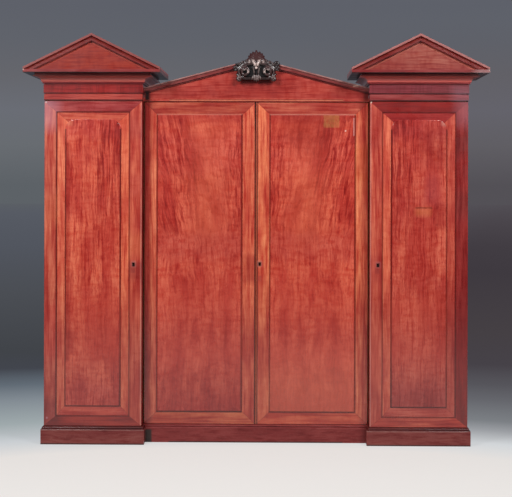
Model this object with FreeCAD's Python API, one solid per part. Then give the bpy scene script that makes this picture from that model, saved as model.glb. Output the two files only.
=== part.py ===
import FreeCAD, Part
import math
import os

# All sizes are in millimetres. X runs to the right, the doors face -Y, Z is up.
# The origin is at the middle of the footprint, on the floor.

# Widths of the three cases
wing_width = 557.0
centre_width = 1304.0

# Depth of a wing from door front to back, and how far the centre stands back
wing_depth = 600.0
centre_recess = 105.0

# Heights
plinth_height = 104.0
case_height = 1860.0

# Case boards
side_thickness = 22.0
deck_thickness = 20.0
back_thickness = 12.0

# Doors
door_thickness = 25.0
door_back_gap = 1.0
door_foot_gap = 2.0
door_head_gap = 4.0
centre_door_gap = 8.0
meeting_gap = 2.0
meeting_offset = 3.5

# Wing door frame, sunk band and raised field
wing_stile = 70.0
wing_top_rail = 61.0
wing_bottom_rail = 56.0
band_side = 48.0
band_top = 42.0
band_bottom = 55.0
band_sink = 5.0
band_board = 14.0
field_corner = 60.0
field_rounding = 2.5

# Centre door frame and panel
centre_stile = 74.0
centre_top_rail = 71.0
centre_bottom_rail = 70.0
panel_board = 18.0
panel_rise = 4.5
panel_rounding = 4.0
bead_width = 9.0
bead_rise = 3.0

# Door pivots: a plate with a pin in the case, a plate with a hole in the door
pin_radius = 4.0
pin_length = 14.0
pin_play = 0.05
bore_play = 0.3
bore_spare = 1.0
collar_radius = 7.0
seat_gap = 0.3
plate_thickness = 2.0
plate_tail = 28.0
plate_nose = 7.0
plate_side = 7.0

# Locks
keyhole_level = 1031.0
wing_keyhole_inset = 46.0
centre_keyhole_inset = 24.5
keyhole_radius = 4.0
keyhole_slot = 3.6
keyhole_drop = 12.0
escutcheon_rim = 1.4
escutcheon_depth = 3.0
lock_height = 58.0
lock_depth = 14.0
lock_wall = 3.0
lock_width = 42.0
lock_side_gap = 4.0
lock_below_keyhole = 25.0
lock_bolt_rise = 18.0
lock_bolt_length = 26.0
lock_bolt_height = 14.0
lock_bolt_thickness = 6.0
lock_throw = 10.0
centre_lock_inset = 1.0
keeper_width = 20.0
slide_play = 0.3
mortise_play = 0.8
mortise_spare = 2.0

# Flat bolts that hold the left centre door
bolt_inset = 30.0
bolt_bar_width = 12.0
bolt_bar_thickness = 6.0
bolt_bar_length = 150.0
bolt_stand_off = 6.0
bolt_throw = 14.0
bolt_end_gap = 2.0
bolt_plate_width = 30.0
bolt_plate_length = 120.0
staple_length = 14.0
staple_wall = 3.0
stud_radius = 4.0
stud_length = 7.0

# Plinth moulding
plinth_board = 25.0
plinth_projection = 17.0
plinth_shoulder = 8.0
plinth_quirk_depth = 1.5
plinth_quirk_height = 3.0
plinth_ovolo = 9.0
plinth_lip = 2.0

# Wing entablature: architrave band, quirk and frieze
entablature_board = 40.0
architrave_projection = 3.0
architrave_height = 36.0
quirk_height = 5.0
frieze_projection = 5.5
frieze_height = 51.0
frieze_quirk_projection = 2.0

# Wing cornice: neck, cavetto, fillet, corona
cornice_neck_projection = 11.0
cornice_neck_height = 10.0
cavetto_foot_projection = 17.0
cavetto_radius = 28.0
cavetto_lip = 2.0
fillet_projection = 60.0
fillet_height = 6.0
corona_throat = 52.0
corona_throat_height = 12.0
cornice_projection = 110.0
corona_height = 18.0
capping_height = 13.0

# Wing pediment
wing_pediment_rise = 191.0
wing_rake_depth = 42.0
tympanum_thickness = 22.0
tympanum_projection = 78.0
rake_bed_projection = 88.0
rake_bed_height = 5.0
rake_band_projection = 99.0
rake_cove_radius = 15.0
rake_lip = 5.0
rake_top_height = 12.0

# Centre cornice board, pediment and its raking moulding
centre_base_bead = 11.0
centre_base_fillet = 10.0
centre_bead_projection = 9.0
centre_fillet_projection = 2.5
centre_board_projection = 2.0
centre_board_thickness = 28.0
centre_end_height = 59.0
centre_pediment_rise = 169.0
centre_rake_depth = 33.0
centre_rake_projection = 30.0
centre_rake_top = 8.0
centre_rake_cove = 8.0
centre_rake_bead_projection = 12.0
centre_rake_bead = 7.0
pediment_side_gap = 0.3
brace_thickness = 20.0
brace_depth = 120.0
brace_height = 90.0
brace_spread = 320.0

# Carved crest on the centre pediment
crest_depth = 38.0
crest_drop = 80.0
volute_spread = 52.0
volute_radius = 44.0
shell_rise = 90.0
shell_radius = 40.0
shell_depth = 30.0
palmette_drop = 19.0
palmette_radius = 48.0
palmette_depth = 26.0
stem_half_width = 28.0
leaf_depth = 20.0
leaf_reach = 140.0
leaf_root = 40.0
leaf_rise = 50.0
leaf_tip_rise = 30.0
leaf_shoulder = 100.0
sprig_reach = 100.0
sprig_drop = 50.0
sprig_root = 30.0
crest_block_half_width = 30.0
crest_block_half_height = 30.0

# Wing interiors: a hat shelf on bearers and a hanging rail in sockets
hat_headroom = 246.0
hat_shelf_thickness = 18.0
hat_shelf_setback = 70.0
bearer_width = 18.0
bearer_height = 24.0
rail_radius = 11.0
rail_drop = 62.0
rail_end_gap = 0.5
socket_radius = 19.0
socket_length = 12.0

# Centre interior: drawers under sliding trays
slide_travel = 80.0
slide_front_gap = 15.0
slide_back_gap = 8.0
divider_thickness = 18.0
long_drawer_height = 180.0
long_drawer_count = 3
short_drawer_height = 140.0
drawer_head_gap = 3.0
drawer_side_gap = 1.5
drawer_front = 20.0
drawer_lining = 12.0
drawer_bottom = 8.0
drawer_side_drop = 10.0
knob_radius = 17.0
knob_head = 15.0
knob_neck_radius = 8.0
knob_neck = 9.0
knob_rounding = 5.0
knob_spread = 360.0
tray_count = 4
tray_first_rise = 30.0
tray_height = 110.0
tray_front_height = 62.0
tray_side_gap = 2.0
runner_width = 18.0
runner_height = 20.0

# Room that a cutting body has past the body that it cuts
cut_margin = 20.0

# Planes that the pieces share
back_face = (wing_depth + cornice_projection) / 2
wing_front = back_face - wing_depth
centre_front = wing_front + centre_recess
door_to_case = door_thickness + door_back_gap
wing_case_front = wing_front + door_to_case
centre_case_front = centre_front + door_to_case
inner_back = back_face - back_thickness
wing_inner = centre_width / 2
wing_outer = wing_inner + wing_width
wing_middle = (wing_inner + wing_outer) / 2
case_top = plinth_height + case_height
deck_top = plinth_height + deck_thickness
deck_under = case_top - deck_thickness
door_foot = plinth_height + door_foot_gap
door_head = case_top - door_head_gap
pivot_inset = door_thickness / 2
frieze_foot = case_top + architrave_height + quirk_height
frieze_top = frieze_foot + frieze_height
cornice_foot = frieze_top + quirk_height
cavetto_top = cornice_foot + cornice_neck_height + cavetto_radius
fillet_foot = cavetto_top + cavetto_lip
corona_foot = fillet_foot + fillet_height + corona_throat_height
corona_top = corona_foot + corona_height
capping_top = corona_top + capping_height
centre_base_top = case_top + centre_base_bead + centre_base_fillet
centre_tip_level = centre_base_top + centre_end_height
crest_centre_level = centre_tip_level + centre_pediment_rise - crest_drop
hat_shelf_level = deck_under - hat_headroom - hat_shelf_thickness
centre_edge = wing_inner - centre_door_gap
left_meeting_edge = -meeting_offset - meeting_gap / 2
right_meeting_edge = -meeting_offset + meeting_gap / 2
slide_front = centre_case_front + slide_front_gap + slide_travel + knob_neck + knob_head
slide_back = inner_back - slide_back_gap
keyhole_bolt_level = keyhole_level + lock_bolt_rise


# Plain bodies

def vector(x, y, z):
    return FreeCAD.Vector(x, y, z)


up = vector(0, 0, 1)
right = vector(1, 0, 0)
left = vector(-1, 0, 0)
forward = vector(0, -1, 0)
backward = vector(0, 1, 0)


def block(x_low, x_high, y_low, y_high, z_low, z_high):
    corner = vector(x_low, y_low, z_low)
    return Part.makeBox(x_high - x_low, y_high - y_low, z_high - z_low, corner)


def mirrored(shape, middle=0.0):
    return shape.mirror(vector(middle, 0, 0), right)


# The end of a step in an outline: a point, or an arc's (centre, end) pair
def step_end(step):
    return step[1] if isinstance(step[0], tuple) else step


# The middle point of the quarter arc from one point to another about a centre
def quarter_middle(start, centre, end):
    pairs = zip(start, centre, end)
    return [middle + (first + last - 2 * middle) / math.sqrt(2) for first, middle, last in pairs]


# A face inside a closed outline. Each step is a point, or a (centre, end) pair for a quarter arc.
def outline_face(steps, place):
    edges = []
    here = step_end(steps[0])
    for step in steps[1:] + steps[:1]:
        there = step_end(step)
        if isinstance(step[0], tuple):
            middle = quarter_middle(here, step[0], there)
            edges.append(Part.Arc(place(*here), place(*middle), place(*there)).toShape())
        else:
            edges.append(Part.LineSegment(place(*here), place(*there)).toShape())
        here = there
    return Part.Face(Part.Wire(edges))


# A body with an outline in x and z, between two depths
def upright_body(steps, y_low, y_high):
    face = outline_face(steps, lambda x, z: vector(x, y_low, z))
    return face.extrude(vector(0, y_high - y_low, 0))


# A body with an outline in x and y, between two levels
def plan_body(steps, z_low, z_high):
    face = outline_face(steps, lambda x, y: vector(x, y, z_low))
    return face.extrude(vector(0, 0, z_high - z_low))


def without(shape, cutters):
    for cutter in cutters:
        shape = shape.cut(cutter)
    return shape.Solids[0]


# A straight moulding. Its profile is in (projection, level) from the line start to end.
# A mitre is 1 at an outside corner, -1 at an inside corner and 0 at a square end.
def moulding(profile, start, end, outward, start_mitre, end_mitre):
    length = (end - start).Length
    along = (end - start) * (1 / length)
    reaches = [step_end(step)[0] for step in profile]
    levels = [step_end(step)[1] for step in profile]
    spare = max(abs(reach) for reach in reaches) + cut_margin
    origin = start - along * spare
    face = outline_face(profile, lambda reach, level: origin + outward * reach + up * level)
    bar = face.extrude(along * (length + 2 * spare))
    inner = min(reaches) - cut_margin
    outer = max(reaches) + cut_margin
    low = up * (min(levels) - cut_margin)
    corners = [
        start + outward * inner - along * (inner * start_mitre) + low,
        start + outward * outer - along * (outer * start_mitre) + low,
        end + outward * outer + along * (outer * end_mitre) + low,
        end + outward * inner + along * (inner * end_mitre) + low,
    ]
    plan = Part.Face(Part.makePolygon(corners + corners[:1]))
    height = max(levels) - min(levels) + 2 * cut_margin
    return bar.common(plan.extrude(up * height)).Solids[0]


# The moulding along the outer side, front and inner side of the right wing
def wing_runs(profile, inner_end, inner_mitre):
    outer_back = vector(wing_outer, back_face, 0)
    outer_corner = vector(wing_outer, wing_front, 0)
    inner_corner = vector(wing_inner, wing_front, 0)
    inner_stop = vector(wing_inner, inner_end, 0)
    return [
        moulding(profile, outer_back, outer_corner, right, 0, 1),
        moulding(profile, outer_corner, inner_corner, forward, 1, 1),
        moulding(profile, inner_corner, inner_stop, left, 1, inner_mitre),
    ]


# Two raking mouldings that meet over the middle. Their profile is in (projection, height),
# where the height is square to the slope and runs down from the top line at 0.
def raking_pair(profile, middle, half_width, tip_level, rise, front, foot_level):
    slope = math.atan2(rise, half_width)
    along = vector(math.cos(slope), 0, math.sin(slope))
    across = vector(-math.sin(slope), 0, math.cos(slope))
    tip = vector(middle - half_width, front, tip_level)
    origin = tip - along * (2 * cut_margin)
    face = outline_face(profile, lambda reach, height: origin + forward * reach + across * height)
    bar = face.extrude(along * (half_width / math.cos(slope) + 4 * cut_margin))
    reaches = [step_end(step)[0] for step in profile]
    near = front - max(reaches) - cut_margin
    far = front - min(reaches) + cut_margin
    room = block(middle - half_width, middle, near, far, foot_level, tip_level + rise + cut_margin)
    rising = bar.common(room).Solids[0]
    return [rising, mirrored(rising, middle)]


# The vertical thickness of a raking moulding
def rake_drop(depth, rise, half_width):
    return depth / math.cos(math.atan2(rise, half_width))


# Plinths

def plinth_profile():
    face_top = plinth_height - plinth_lip - plinth_ovolo - plinth_quirk_height - plinth_shoulder
    shoulder_in = plinth_projection - plinth_shoulder
    quirk_foot = face_top + plinth_shoulder
    quirk_top = quirk_foot + plinth_quirk_height
    quirk_in = shoulder_in - plinth_quirk_depth
    ovolo_out = plinth_lip + plinth_ovolo
    return [
        (0.0, 0.0),
        (plinth_projection, 0.0),
        (plinth_projection, face_top),
        ((shoulder_in, face_top), (shoulder_in, quirk_foot)),
        (quirk_in, quirk_foot),
        (quirk_in, quirk_top),
        (ovolo_out, quirk_top),
        ((plinth_lip, quirk_top), (plinth_lip, quirk_top + plinth_ovolo)),
        (plinth_lip, plinth_height),
        (0.0, plinth_height),
    ]


# Four boards on edge under a case
def plinth_frame(x_low, x_high, front):
    front_inside = front + plinth_board
    back_inside = back_face - plinth_board
    return [
        block(x_low, x_high, front, front_inside, 0, plinth_height),
        block(x_low, x_high, back_inside, back_face, 0, plinth_height),
        block(x_low, x_low + plinth_board, front_inside, back_inside, 0, plinth_height),
        block(x_high - plinth_board, x_high, front_inside, back_inside, 0, plinth_height),
    ]


def right_plinth():
    frame = plinth_frame(wing_inner, wing_outer, wing_front)
    recess = plate_body(wing_pivot(), plinth_height - plate_thickness, plinth_height)
    frame[0] = without(frame[0], [recess])
    return frame + wing_runs(plinth_profile(), centre_front, -1)


def centre_plinth():
    frame = plinth_frame(-wing_inner, wing_inner, centre_front)
    recess = plate_body(centre_pivot(), plinth_height - plate_thickness, plinth_height)
    frame[0] = without(frame[0], [recess, mirrored(recess)])
    start = vector(wing_inner, centre_front, 0)
    end = vector(-wing_inner, centre_front, 0)
    return frame + [moulding(plinth_profile(), start, end, forward, -1, -1)]


# Cases

def case_side(x_low, front):
    return block(x_low, x_low + side_thickness, front, back_face, plinth_height, case_top)


# The slot that a wing lock's bolt enters, in the inner side of the wing
def wing_bolt_mortise():
    depth = lock_throw - lock_side_gap + mortise_spare
    face = wing_inner + side_thickness
    near, far = lock_bolt_depths(wing_front)
    return block(
        face - depth, face + cut_margin,
        near - mortise_play, far + mortise_play,
        keyhole_bolt_level - lock_bolt_height / 2 - mortise_play,
        keyhole_bolt_level + lock_bolt_height / 2 + mortise_play,
    )


def right_inner_side():
    return without(case_side(wing_inner, wing_case_front), [wing_bolt_mortise()])


def right_outer_side():
    return case_side(wing_outer - side_thickness, wing_case_front)


def centre_sides():
    side = case_side(wing_inner - side_thickness, centre_case_front)
    return [side, mirrored(side)]


# A board between the sides of the wings and of the centre, with (x, x, front) for each case
def case_bays():
    inner = wing_inner + side_thickness
    outer = wing_outer - side_thickness
    middle = wing_inner - side_thickness
    return [
        (-outer, -inner, wing_case_front),
        (-middle, middle, centre_case_front),
        (inner, outer, wing_case_front),
    ]


def decks(z_low, z_high):
    return [block(low, high, front, inner_back, z_low, z_high) for low, high, front in case_bays()]


# The slot that a flat bolt of the left centre door enters, in the floor or the top
def bolt_mortise(z_low, z_high):
    middle = left_meeting_edge - bolt_inset
    near, far = bolt_bar_depths()
    half = bolt_bar_width / 2 + mortise_play
    return block(middle - half, middle + half, near - mortise_play, far + mortise_play, z_low, z_high)


def case_floors():
    boards = decks(plinth_height, deck_top)
    slot = bolt_mortise(deck_top + bolt_end_gap - bolt_throw - mortise_spare, deck_top + cut_margin)
    boards[1] = without(boards[1], [slot])
    return boards


def case_tops():
    boards = decks(deck_under, case_top)
    slot = bolt_mortise(deck_under - cut_margin, deck_under - bolt_end_gap + bolt_throw + mortise_spare)
    boards[1] = without(boards[1], [slot])
    return boards


def case_backs():
    bays = case_bays()
    return [block(low, high, inner_back, back_face, plinth_height, case_top) for low, high, front in bays]


# Wing interiors

def hat_shelves():
    low = wing_inner + side_thickness
    high = wing_outer - side_thickness
    front = wing_case_front + hat_shelf_setback
    top = hat_shelf_level + hat_shelf_thickness
    foot = hat_shelf_level - bearer_height
    shelf = [
        block(low, high, front, inner_back, hat_shelf_level, top),
        block(low, low + bearer_width, front, inner_back, foot, hat_shelf_level),
        block(high - bearer_width, high, front, inner_back, foot, hat_shelf_level),
    ]
    return shelf + [mirrored(board) for board in shelf]


def rail_centre():
    return (wing_case_front + inner_back) / 2, hat_shelf_level - rail_drop


def hanging_rails():
    depth, level = rail_centre()
    low = wing_inner + side_thickness + rail_end_gap
    length = wing_width - 2 * side_thickness - 2 * rail_end_gap
    rail = Part.makeCylinder(rail_radius, length, vector(low, depth, level), right)
    return [rail, mirrored(rail)]


def rail_sockets():
    depth, level = rail_centre()
    low = wing_inner + side_thickness
    cup = Part.makeCylinder(socket_radius, socket_length, vector(low, depth, level), right)
    bore = Part.makeCylinder(rail_radius + pin_play, socket_length, vector(low, depth, level), right)
    inner = without(cup, [bore])
    outer = mirrored(inner, wing_middle)
    return [inner, outer, mirrored(inner), mirrored(outer)]


# Wing entablature, cornice and pediment

def entablature_profile():
    quirk_foot = case_top + architrave_height
    return [
        (-entablature_board, case_top),
        (architrave_projection, case_top),
        (architrave_projection, quirk_foot),
        (0.0, quirk_foot),
        (0.0, frieze_foot),
        (frieze_projection, frieze_foot),
        (frieze_projection, frieze_top),
        (frieze_quirk_projection, frieze_top),
        (frieze_quirk_projection, cornice_foot),
        (-entablature_board, cornice_foot),
    ]


def right_entablature():
    recess = plate_body(wing_pivot(), case_top, case_top + plate_thickness)
    runs = wing_runs(entablature_profile(), back_face, 0)
    return [without(board, [recess]) for board in runs]


def cornice_profile():
    cove_foot = cornice_foot + cornice_neck_height
    cove_out = cavetto_foot_projection + cavetto_radius
    fillet_top = fillet_foot + fillet_height
    return [
        (-entablature_board, cornice_foot),
        (cornice_neck_projection, cornice_foot),
        (cornice_neck_projection, cove_foot),
        (cavetto_foot_projection, cove_foot),
        ((cove_out, cove_foot), (cove_out, cavetto_top)),
        (cove_out, fillet_foot),
        (fillet_projection, fillet_foot),
        (fillet_projection, fillet_top),
        (corona_throat, fillet_top),
        (corona_throat, corona_foot),
        (cornice_projection, corona_foot),
        (cornice_projection, corona_top),
        (-entablature_board, corona_top),
    ]


# The cornice, with a capping on each side behind the raking mouldings
def right_cornice():
    low_edge = -entablature_board
    capping = [
        (low_edge, corona_top),
        (cornice_projection, corona_top),
        (cornice_projection, capping_top),
        (low_edge, capping_top),
    ]
    start = wing_front - tympanum_projection + tympanum_thickness
    outer = moulding(
        capping, vector(wing_outer, start, 0), vector(wing_outer, back_face, 0), right, 0, 0)
    return wing_runs(cornice_profile(), back_face, 0) + [outer, mirrored(outer, wing_middle)]


def wing_pediment_half():
    return wing_width / 2 + cornice_projection


def right_rake_mouldings():
    band_foot = rake_bed_height - wing_rake_depth
    cove_foot = -rake_top_height - rake_cove_radius
    cove_out = cornice_projection - rake_lip
    cove_in = cove_out - rake_cove_radius
    profile = [
        (tympanum_projection - tympanum_thickness, -wing_rake_depth),
        (rake_bed_projection, -wing_rake_depth),
        (rake_bed_projection, band_foot),
        (rake_band_projection, band_foot),
        (rake_band_projection, cove_foot),
        (cove_in, cove_foot),
        ((cove_out, cove_foot), (cove_out, -rake_top_height)),
        (cornice_projection, -rake_top_height),
        (cornice_projection, 0.0),
        (tympanum_projection - tympanum_thickness, 0.0),
    ]
    half = wing_pediment_half()
    return raking_pair(profile, wing_middle, half, capping_top, wing_pediment_rise, wing_front, corona_top)


def right_tympanum():
    half = wing_pediment_half()
    drop = rake_drop(wing_rake_depth, wing_pediment_rise, half)
    apex = capping_top + wing_pediment_rise - drop
    reach = (apex - corona_top) * half / wing_pediment_rise
    outline = [(wing_middle - reach, corona_top), (wing_middle + reach, corona_top), (wing_middle, apex)]
    near = wing_front - tympanum_projection
    return upright_body(outline, near, near + tympanum_thickness)


# Centre cornice board, pediment and crest

def centre_cornice_board():
    half = wing_inner - architrave_projection
    bead_half = centre_base_bead / 2
    bead_out = centre_bead_projection
    bead_in = bead_out - bead_half
    bead_top = case_top + centre_base_bead
    depth = back_face - centre_front
    profile = [
        (-depth, case_top),
        (bead_in, case_top),
        ((bead_in, case_top + bead_half), (bead_out, case_top + bead_half)),
        ((bead_in, case_top + bead_half), (bead_in, bead_top)),
        (centre_fillet_projection, bead_top),
        (centre_fillet_projection, centre_base_top),
        (-depth, centre_base_top),
    ]
    start = vector(half, centre_front, 0)
    end = vector(-half, centre_front, 0)
    board = moulding(profile, start, end, forward, 0, 0)
    recess = plate_body(centre_pivot(), case_top, case_top + plate_thickness)
    return without(board, [recess, mirrored(recess)])


def centre_half_width():
    return wing_inner - frieze_projection - pediment_side_gap


def centre_rake_mouldings():
    back = centre_board_projection - centre_board_thickness
    bead_top = centre_rake_bead - centre_rake_depth
    cove_out = centre_rake_projection - centre_rake_cove
    profile = [
        (back, -centre_rake_depth),
        (centre_rake_bead_projection, -centre_rake_depth),
        (centre_rake_bead_projection, bead_top),
        (cove_out, bead_top),
        (cove_out, -centre_rake_top - centre_rake_cove),
        ((centre_rake_projection, -centre_rake_top - centre_rake_cove),
         (centre_rake_projection, -centre_rake_top)),
        (centre_rake_projection, 0.0),
        (back, 0.0),
    ]
    half = centre_half_width()
    return raking_pair(
        profile, 0.0, half, centre_tip_level, centre_pediment_rise, centre_front, centre_base_top)


# The pediment board, its two braces and the block that carries the crest
def centre_pediment():
    half = centre_half_width()
    drop = rake_drop(centre_rake_depth, centre_pediment_rise, half)
    end_top = centre_tip_level - drop
    apex = end_top + centre_pediment_rise
    outline = [
        (-half, centre_base_top), (half, centre_base_top), (half, end_top), (0.0, apex), (-half, end_top)]
    near = centre_front - centre_board_projection
    far = near + centre_board_thickness
    board = upright_body(outline, near, far)
    brace_side = [
        (far, centre_base_top), (far + brace_depth, centre_base_top), (far, centre_base_top + brace_height)]
    brace_face = outline_face(brace_side, lambda y, z: vector(brace_spread, y, z))
    brace = brace_face.extrude(right * brace_thickness)
    crest_block = block(
        -crest_block_half_width, crest_block_half_width, crest_back(), near,
        crest_centre_level - crest_block_half_height, crest_centre_level + crest_block_half_height)
    return [board, brace, mirrored(brace), crest_block]


def crest_back():
    return centre_front - centre_rake_projection


# A disc of the crest, standing forward from its back plane
def crest_disc(x, z, radius, depth):
    return Part.makeCylinder(radius, depth, vector(x, crest_back(), z), forward)


def crest_leaf():
    level = crest_centre_level
    return [
        (leaf_root, level),
        (leaf_reach, level + leaf_tip_rise - leaf_depth),
        (leaf_reach, level + leaf_tip_rise),
        (leaf_shoulder, level + leaf_rise),
        (leaf_root, level + leaf_rise),
    ]


def crest_sprig():
    level = crest_centre_level
    return [
        (sprig_root, level),
        (sprig_root, level - sprig_drop),
        (sprig_reach, level - sprig_drop),
        (leaf_shoulder - sprig_root, level),
    ]


def crest():
    level = crest_centre_level
    shell_level = level + shell_rise
    body = block(
        -stem_half_width, stem_half_width, crest_back() - leaf_depth, crest_back(),
        level - palmette_drop, shell_level)
    pieces = [
        crest_disc(0, shell_level, shell_radius, shell_depth),
        crest_disc(0, level - palmette_drop, palmette_radius, palmette_depth),
    ]
    for outline in (crest_leaf(), crest_sprig()):
        blade = upright_body(outline, crest_back() - leaf_depth, crest_back())
        pieces += [blade, mirrored(blade)]
    for side in (-1, 1):
        pieces.append(crest_disc(side * volute_spread, level, volute_radius, crest_depth))
    for piece in pieces:
        body = body.fuse(piece)
    return body.removeSplitter().Solids[0]


# Door pivots. A pivot is the (x, y) of its pin.

def wing_pivot():
    return wing_outer - pivot_inset, wing_front + pivot_inset


def centre_pivot():
    return centre_edge - pivot_inset, centre_front + pivot_inset


def plate_body(pivot, z_low, z_high):
    x, y = pivot
    return block(x - plate_tail, x + plate_nose, y - plate_side, y + plate_side, z_low, z_high)


def upright_pin(pivot, radius, z_low, z_high):
    return Part.makeCylinder(radius, z_high - z_low, vector(pivot[0], pivot[1], z_low))


# The case's plates: the lower pin carries the door on a collar, the upper one steadies it
def case_pivots(pivot):
    low_plate = plate_body(pivot, plinth_height - plate_thickness, plinth_height)
    low_pin = upright_pin(pivot, pin_radius, plinth_height, door_foot + pin_length)
    collar = upright_pin(pivot, collar_radius, plinth_height, door_foot - seat_gap)
    high_plate = plate_body(pivot, case_top, case_top + plate_thickness)
    high_pin = upright_pin(pivot, pin_radius, door_head - pin_length, case_top)
    return [low_plate.fuse(collar).fuse(low_pin), high_plate.fuse(high_pin)]


def pivot_plates():
    plates = case_pivots(wing_pivot()) + case_pivots(centre_pivot())
    return [plate.Solids[0] for plate in plates + [mirrored(plate) for plate in plates]]


def door_sockets(pivot):
    hole = upright_pin(pivot, pin_radius + pin_play, door_foot, door_head)
    low = plate_body(pivot, door_foot, door_foot + plate_thickness)
    high = plate_body(pivot, door_head - plate_thickness, door_head)
    return [without(low, [hole]), without(high, [hole])]


# What is cut out of a door for its socket plates and pins
def socket_cutters(pivot):
    bore = pin_length + bore_spare
    return [
        plate_body(pivot, door_foot, door_foot + plate_thickness),
        plate_body(pivot, door_head - plate_thickness, door_head),
        upright_pin(pivot, pin_radius + bore_play, door_foot, door_foot + bore),
        upright_pin(pivot, pin_radius + bore_play, door_head - bore, door_head),
    ]


# Locks. Each is on the back of a door whose free edge is at its low x.

def keyhole(x, y_low, y_high, grow):
    depth = y_high - y_low
    ring = Part.makeCylinder(keyhole_radius + grow, depth, vector(x, y_low, keyhole_level), backward)
    half = keyhole_slot / 2 + grow
    slot = block(x - half, x + half, y_low, y_high, keyhole_level - keyhole_drop - grow, keyhole_level)
    return ring.fuse(slot)


def keyhole_cutters(x, front):
    through = keyhole(x, front - cut_margin, front + door_thickness + cut_margin, 0)
    seat = keyhole(x, front - cut_margin, front + escutcheon_depth, escutcheon_rim)
    return [through, seat]


def escutcheon(x, front):
    plate = keyhole(x, front, front + escutcheon_depth, escutcheon_rim)
    return without(plate, [keyhole(x, front, front + escutcheon_depth, 0)])


def lock_bolt_depths(front):
    middle = front + door_thickness + lock_depth / 2
    return middle - lock_bolt_thickness / 2, middle + lock_bolt_thickness / 2


def lock_bolt(edge, front):
    near, far = lock_bolt_depths(front)
    half = lock_bolt_height / 2
    return block(
        edge, edge + lock_bolt_length, near, far, keyhole_bolt_level - half, keyhole_bolt_level + half)


def lock_case(edge, front, keyhole_x):
    back = front + door_thickness
    low = keyhole_level - lock_below_keyhole
    case = block(edge, edge + lock_width, back, back + lock_depth, low, low + lock_height)
    near, far = lock_bolt_depths(front)
    half = lock_bolt_height / 2 + slide_play
    channel = block(
        edge - cut_margin, edge + lock_bolt_length + slide_play, near - slide_play, far + slide_play,
        keyhole_bolt_level - half, keyhole_bolt_level + half)
    key_way = keyhole(keyhole_x, back - cut_margin, back + lock_depth - lock_wall, 0)
    return without(case, [channel, key_way])


# Doors. Each is made with its hinge at its high x, and mirrored for the left side.

def door_blank(free_edge, hinge_edge, front):
    back = front + door_thickness
    pivot = (hinge_edge - pivot_inset, front + pivot_inset)
    plan = [
        (free_edge, front),
        (hinge_edge, front),
        (hinge_edge, front + pivot_inset),
        (pivot, (hinge_edge - pivot_inset, back)),
        (free_edge, back),
    ]
    return plan_body(plan, door_foot, door_head)


# Two stiles and two rails out of a blank, mitred at the corners
def door_members(blank, free_edge, hinge_edge, stile, bottom_rail, top_rail):
    low_x, high_x = free_edge + stile, hinge_edge - stile
    low_z, high_z = door_foot + bottom_rail, door_head - top_rail
    outlines = [
        [(free_edge, door_foot), (low_x, low_z), (low_x, high_z), (free_edge, door_head)],
        [(hinge_edge, door_foot), (high_x, low_z), (high_x, high_z), (hinge_edge, door_head)],
        [(free_edge, door_foot), (hinge_edge, door_foot), (high_x, low_z), (low_x, low_z)],
        [(free_edge, door_head), (hinge_edge, door_head), (high_x, high_z), (low_x, high_z)],
    ]
    members = []
    for outline in outlines:
        room = upright_body(outline, wing_front - cut_margin, back_face)
        members.append(blank.common(room).Solids[0])
    return members


# A board with its front edges rounded
def rounded_front(board, front, radius):
    edges = [edge for edge in board.Edges if abs(edge.BoundBox.YMax - front) < radius / 10]
    return board.makeFillet(radius, edges).Solids[0]


def wing_door_frame():
    blank = door_blank(wing_inner, wing_outer, wing_front)
    members = door_members(
        blank, wing_inner, wing_outer, wing_stile, wing_bottom_rail, wing_top_rail)
    cutters = socket_cutters(wing_pivot()) + keyhole_cutters(wing_inner + wing_keyhole_inset, wing_front)
    return [without(member, cutters) for member in members]


def wing_door_band():
    front = wing_front + band_sink
    return block(
        wing_inner + wing_stile, wing_outer - wing_stile, front, front + band_board,
        door_foot + wing_bottom_rail, door_head - wing_top_rail)


def wing_door_field():
    low = wing_inner + wing_stile + band_side
    high = wing_outer - wing_stile - band_side
    foot = door_foot + wing_bottom_rail + band_bottom
    head = door_head - wing_top_rail - band_top
    shoulder = head - field_corner
    outline = [
        (low, foot),
        (high, foot),
        (high, shoulder),
        ((high - field_corner, shoulder), (high - field_corner, head)),
        (low + field_corner, head),
        ((low + field_corner, shoulder), (low, shoulder)),
    ]
    board = upright_body(outline, wing_front, wing_front + band_sink)
    return rounded_front(board, wing_front, field_rounding)


def wing_lock_edge():
    return wing_inner + side_thickness + lock_side_gap


def wing_door_fittings():
    keyhole_x = wing_inner + wing_keyhole_inset
    lock = lock_case(wing_lock_edge(), wing_front, keyhole_x)
    return [lock, escutcheon(keyhole_x, wing_front)] + door_sockets(wing_pivot())


def wing_door_bolt():
    return lock_bolt(wing_lock_edge(), wing_front)


def centre_door_frame(free_edge, cutters):
    blank = door_blank(free_edge, centre_edge, centre_front)
    members = door_members(
        blank, free_edge, centre_edge, centre_stile, centre_bottom_rail, centre_top_rail)
    return [without(member, socket_cutters(centre_pivot()) + cutters) for member in members]


def centre_door_panel(free_edge):
    front = centre_front - panel_rise
    board = block(
        free_edge + centre_stile, centre_edge - centre_stile, front, front + panel_board,
        door_foot + centre_bottom_rail, door_head - centre_top_rail)
    return rounded_front(board, front, panel_rounding)


def right_centre_free_edge():
    return right_meeting_edge + bead_width


def centre_keyhole():
    return right_meeting_edge + centre_keyhole_inset


def right_centre_frame():
    return centre_door_frame(right_centre_free_edge(), keyhole_cutters(centre_keyhole(), centre_front))


# The half-round bead glued to the meeting edge of the right centre door
def meeting_bead():
    radius = bead_width / 2
    shoulder = centre_front - bead_rise + radius
    middle = right_meeting_edge + radius
    plan = [
        (right_meeting_edge, centre_front + door_thickness),
        (right_meeting_edge, shoulder),
        ((middle, shoulder), (middle, shoulder - radius)),
        ((middle, shoulder), (middle + radius, shoulder)),
        (middle + radius, centre_front + door_thickness),
    ]
    return plan_body(plan, door_foot, door_head)


def centre_lock_edge():
    return right_meeting_edge + centre_lock_inset


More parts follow.
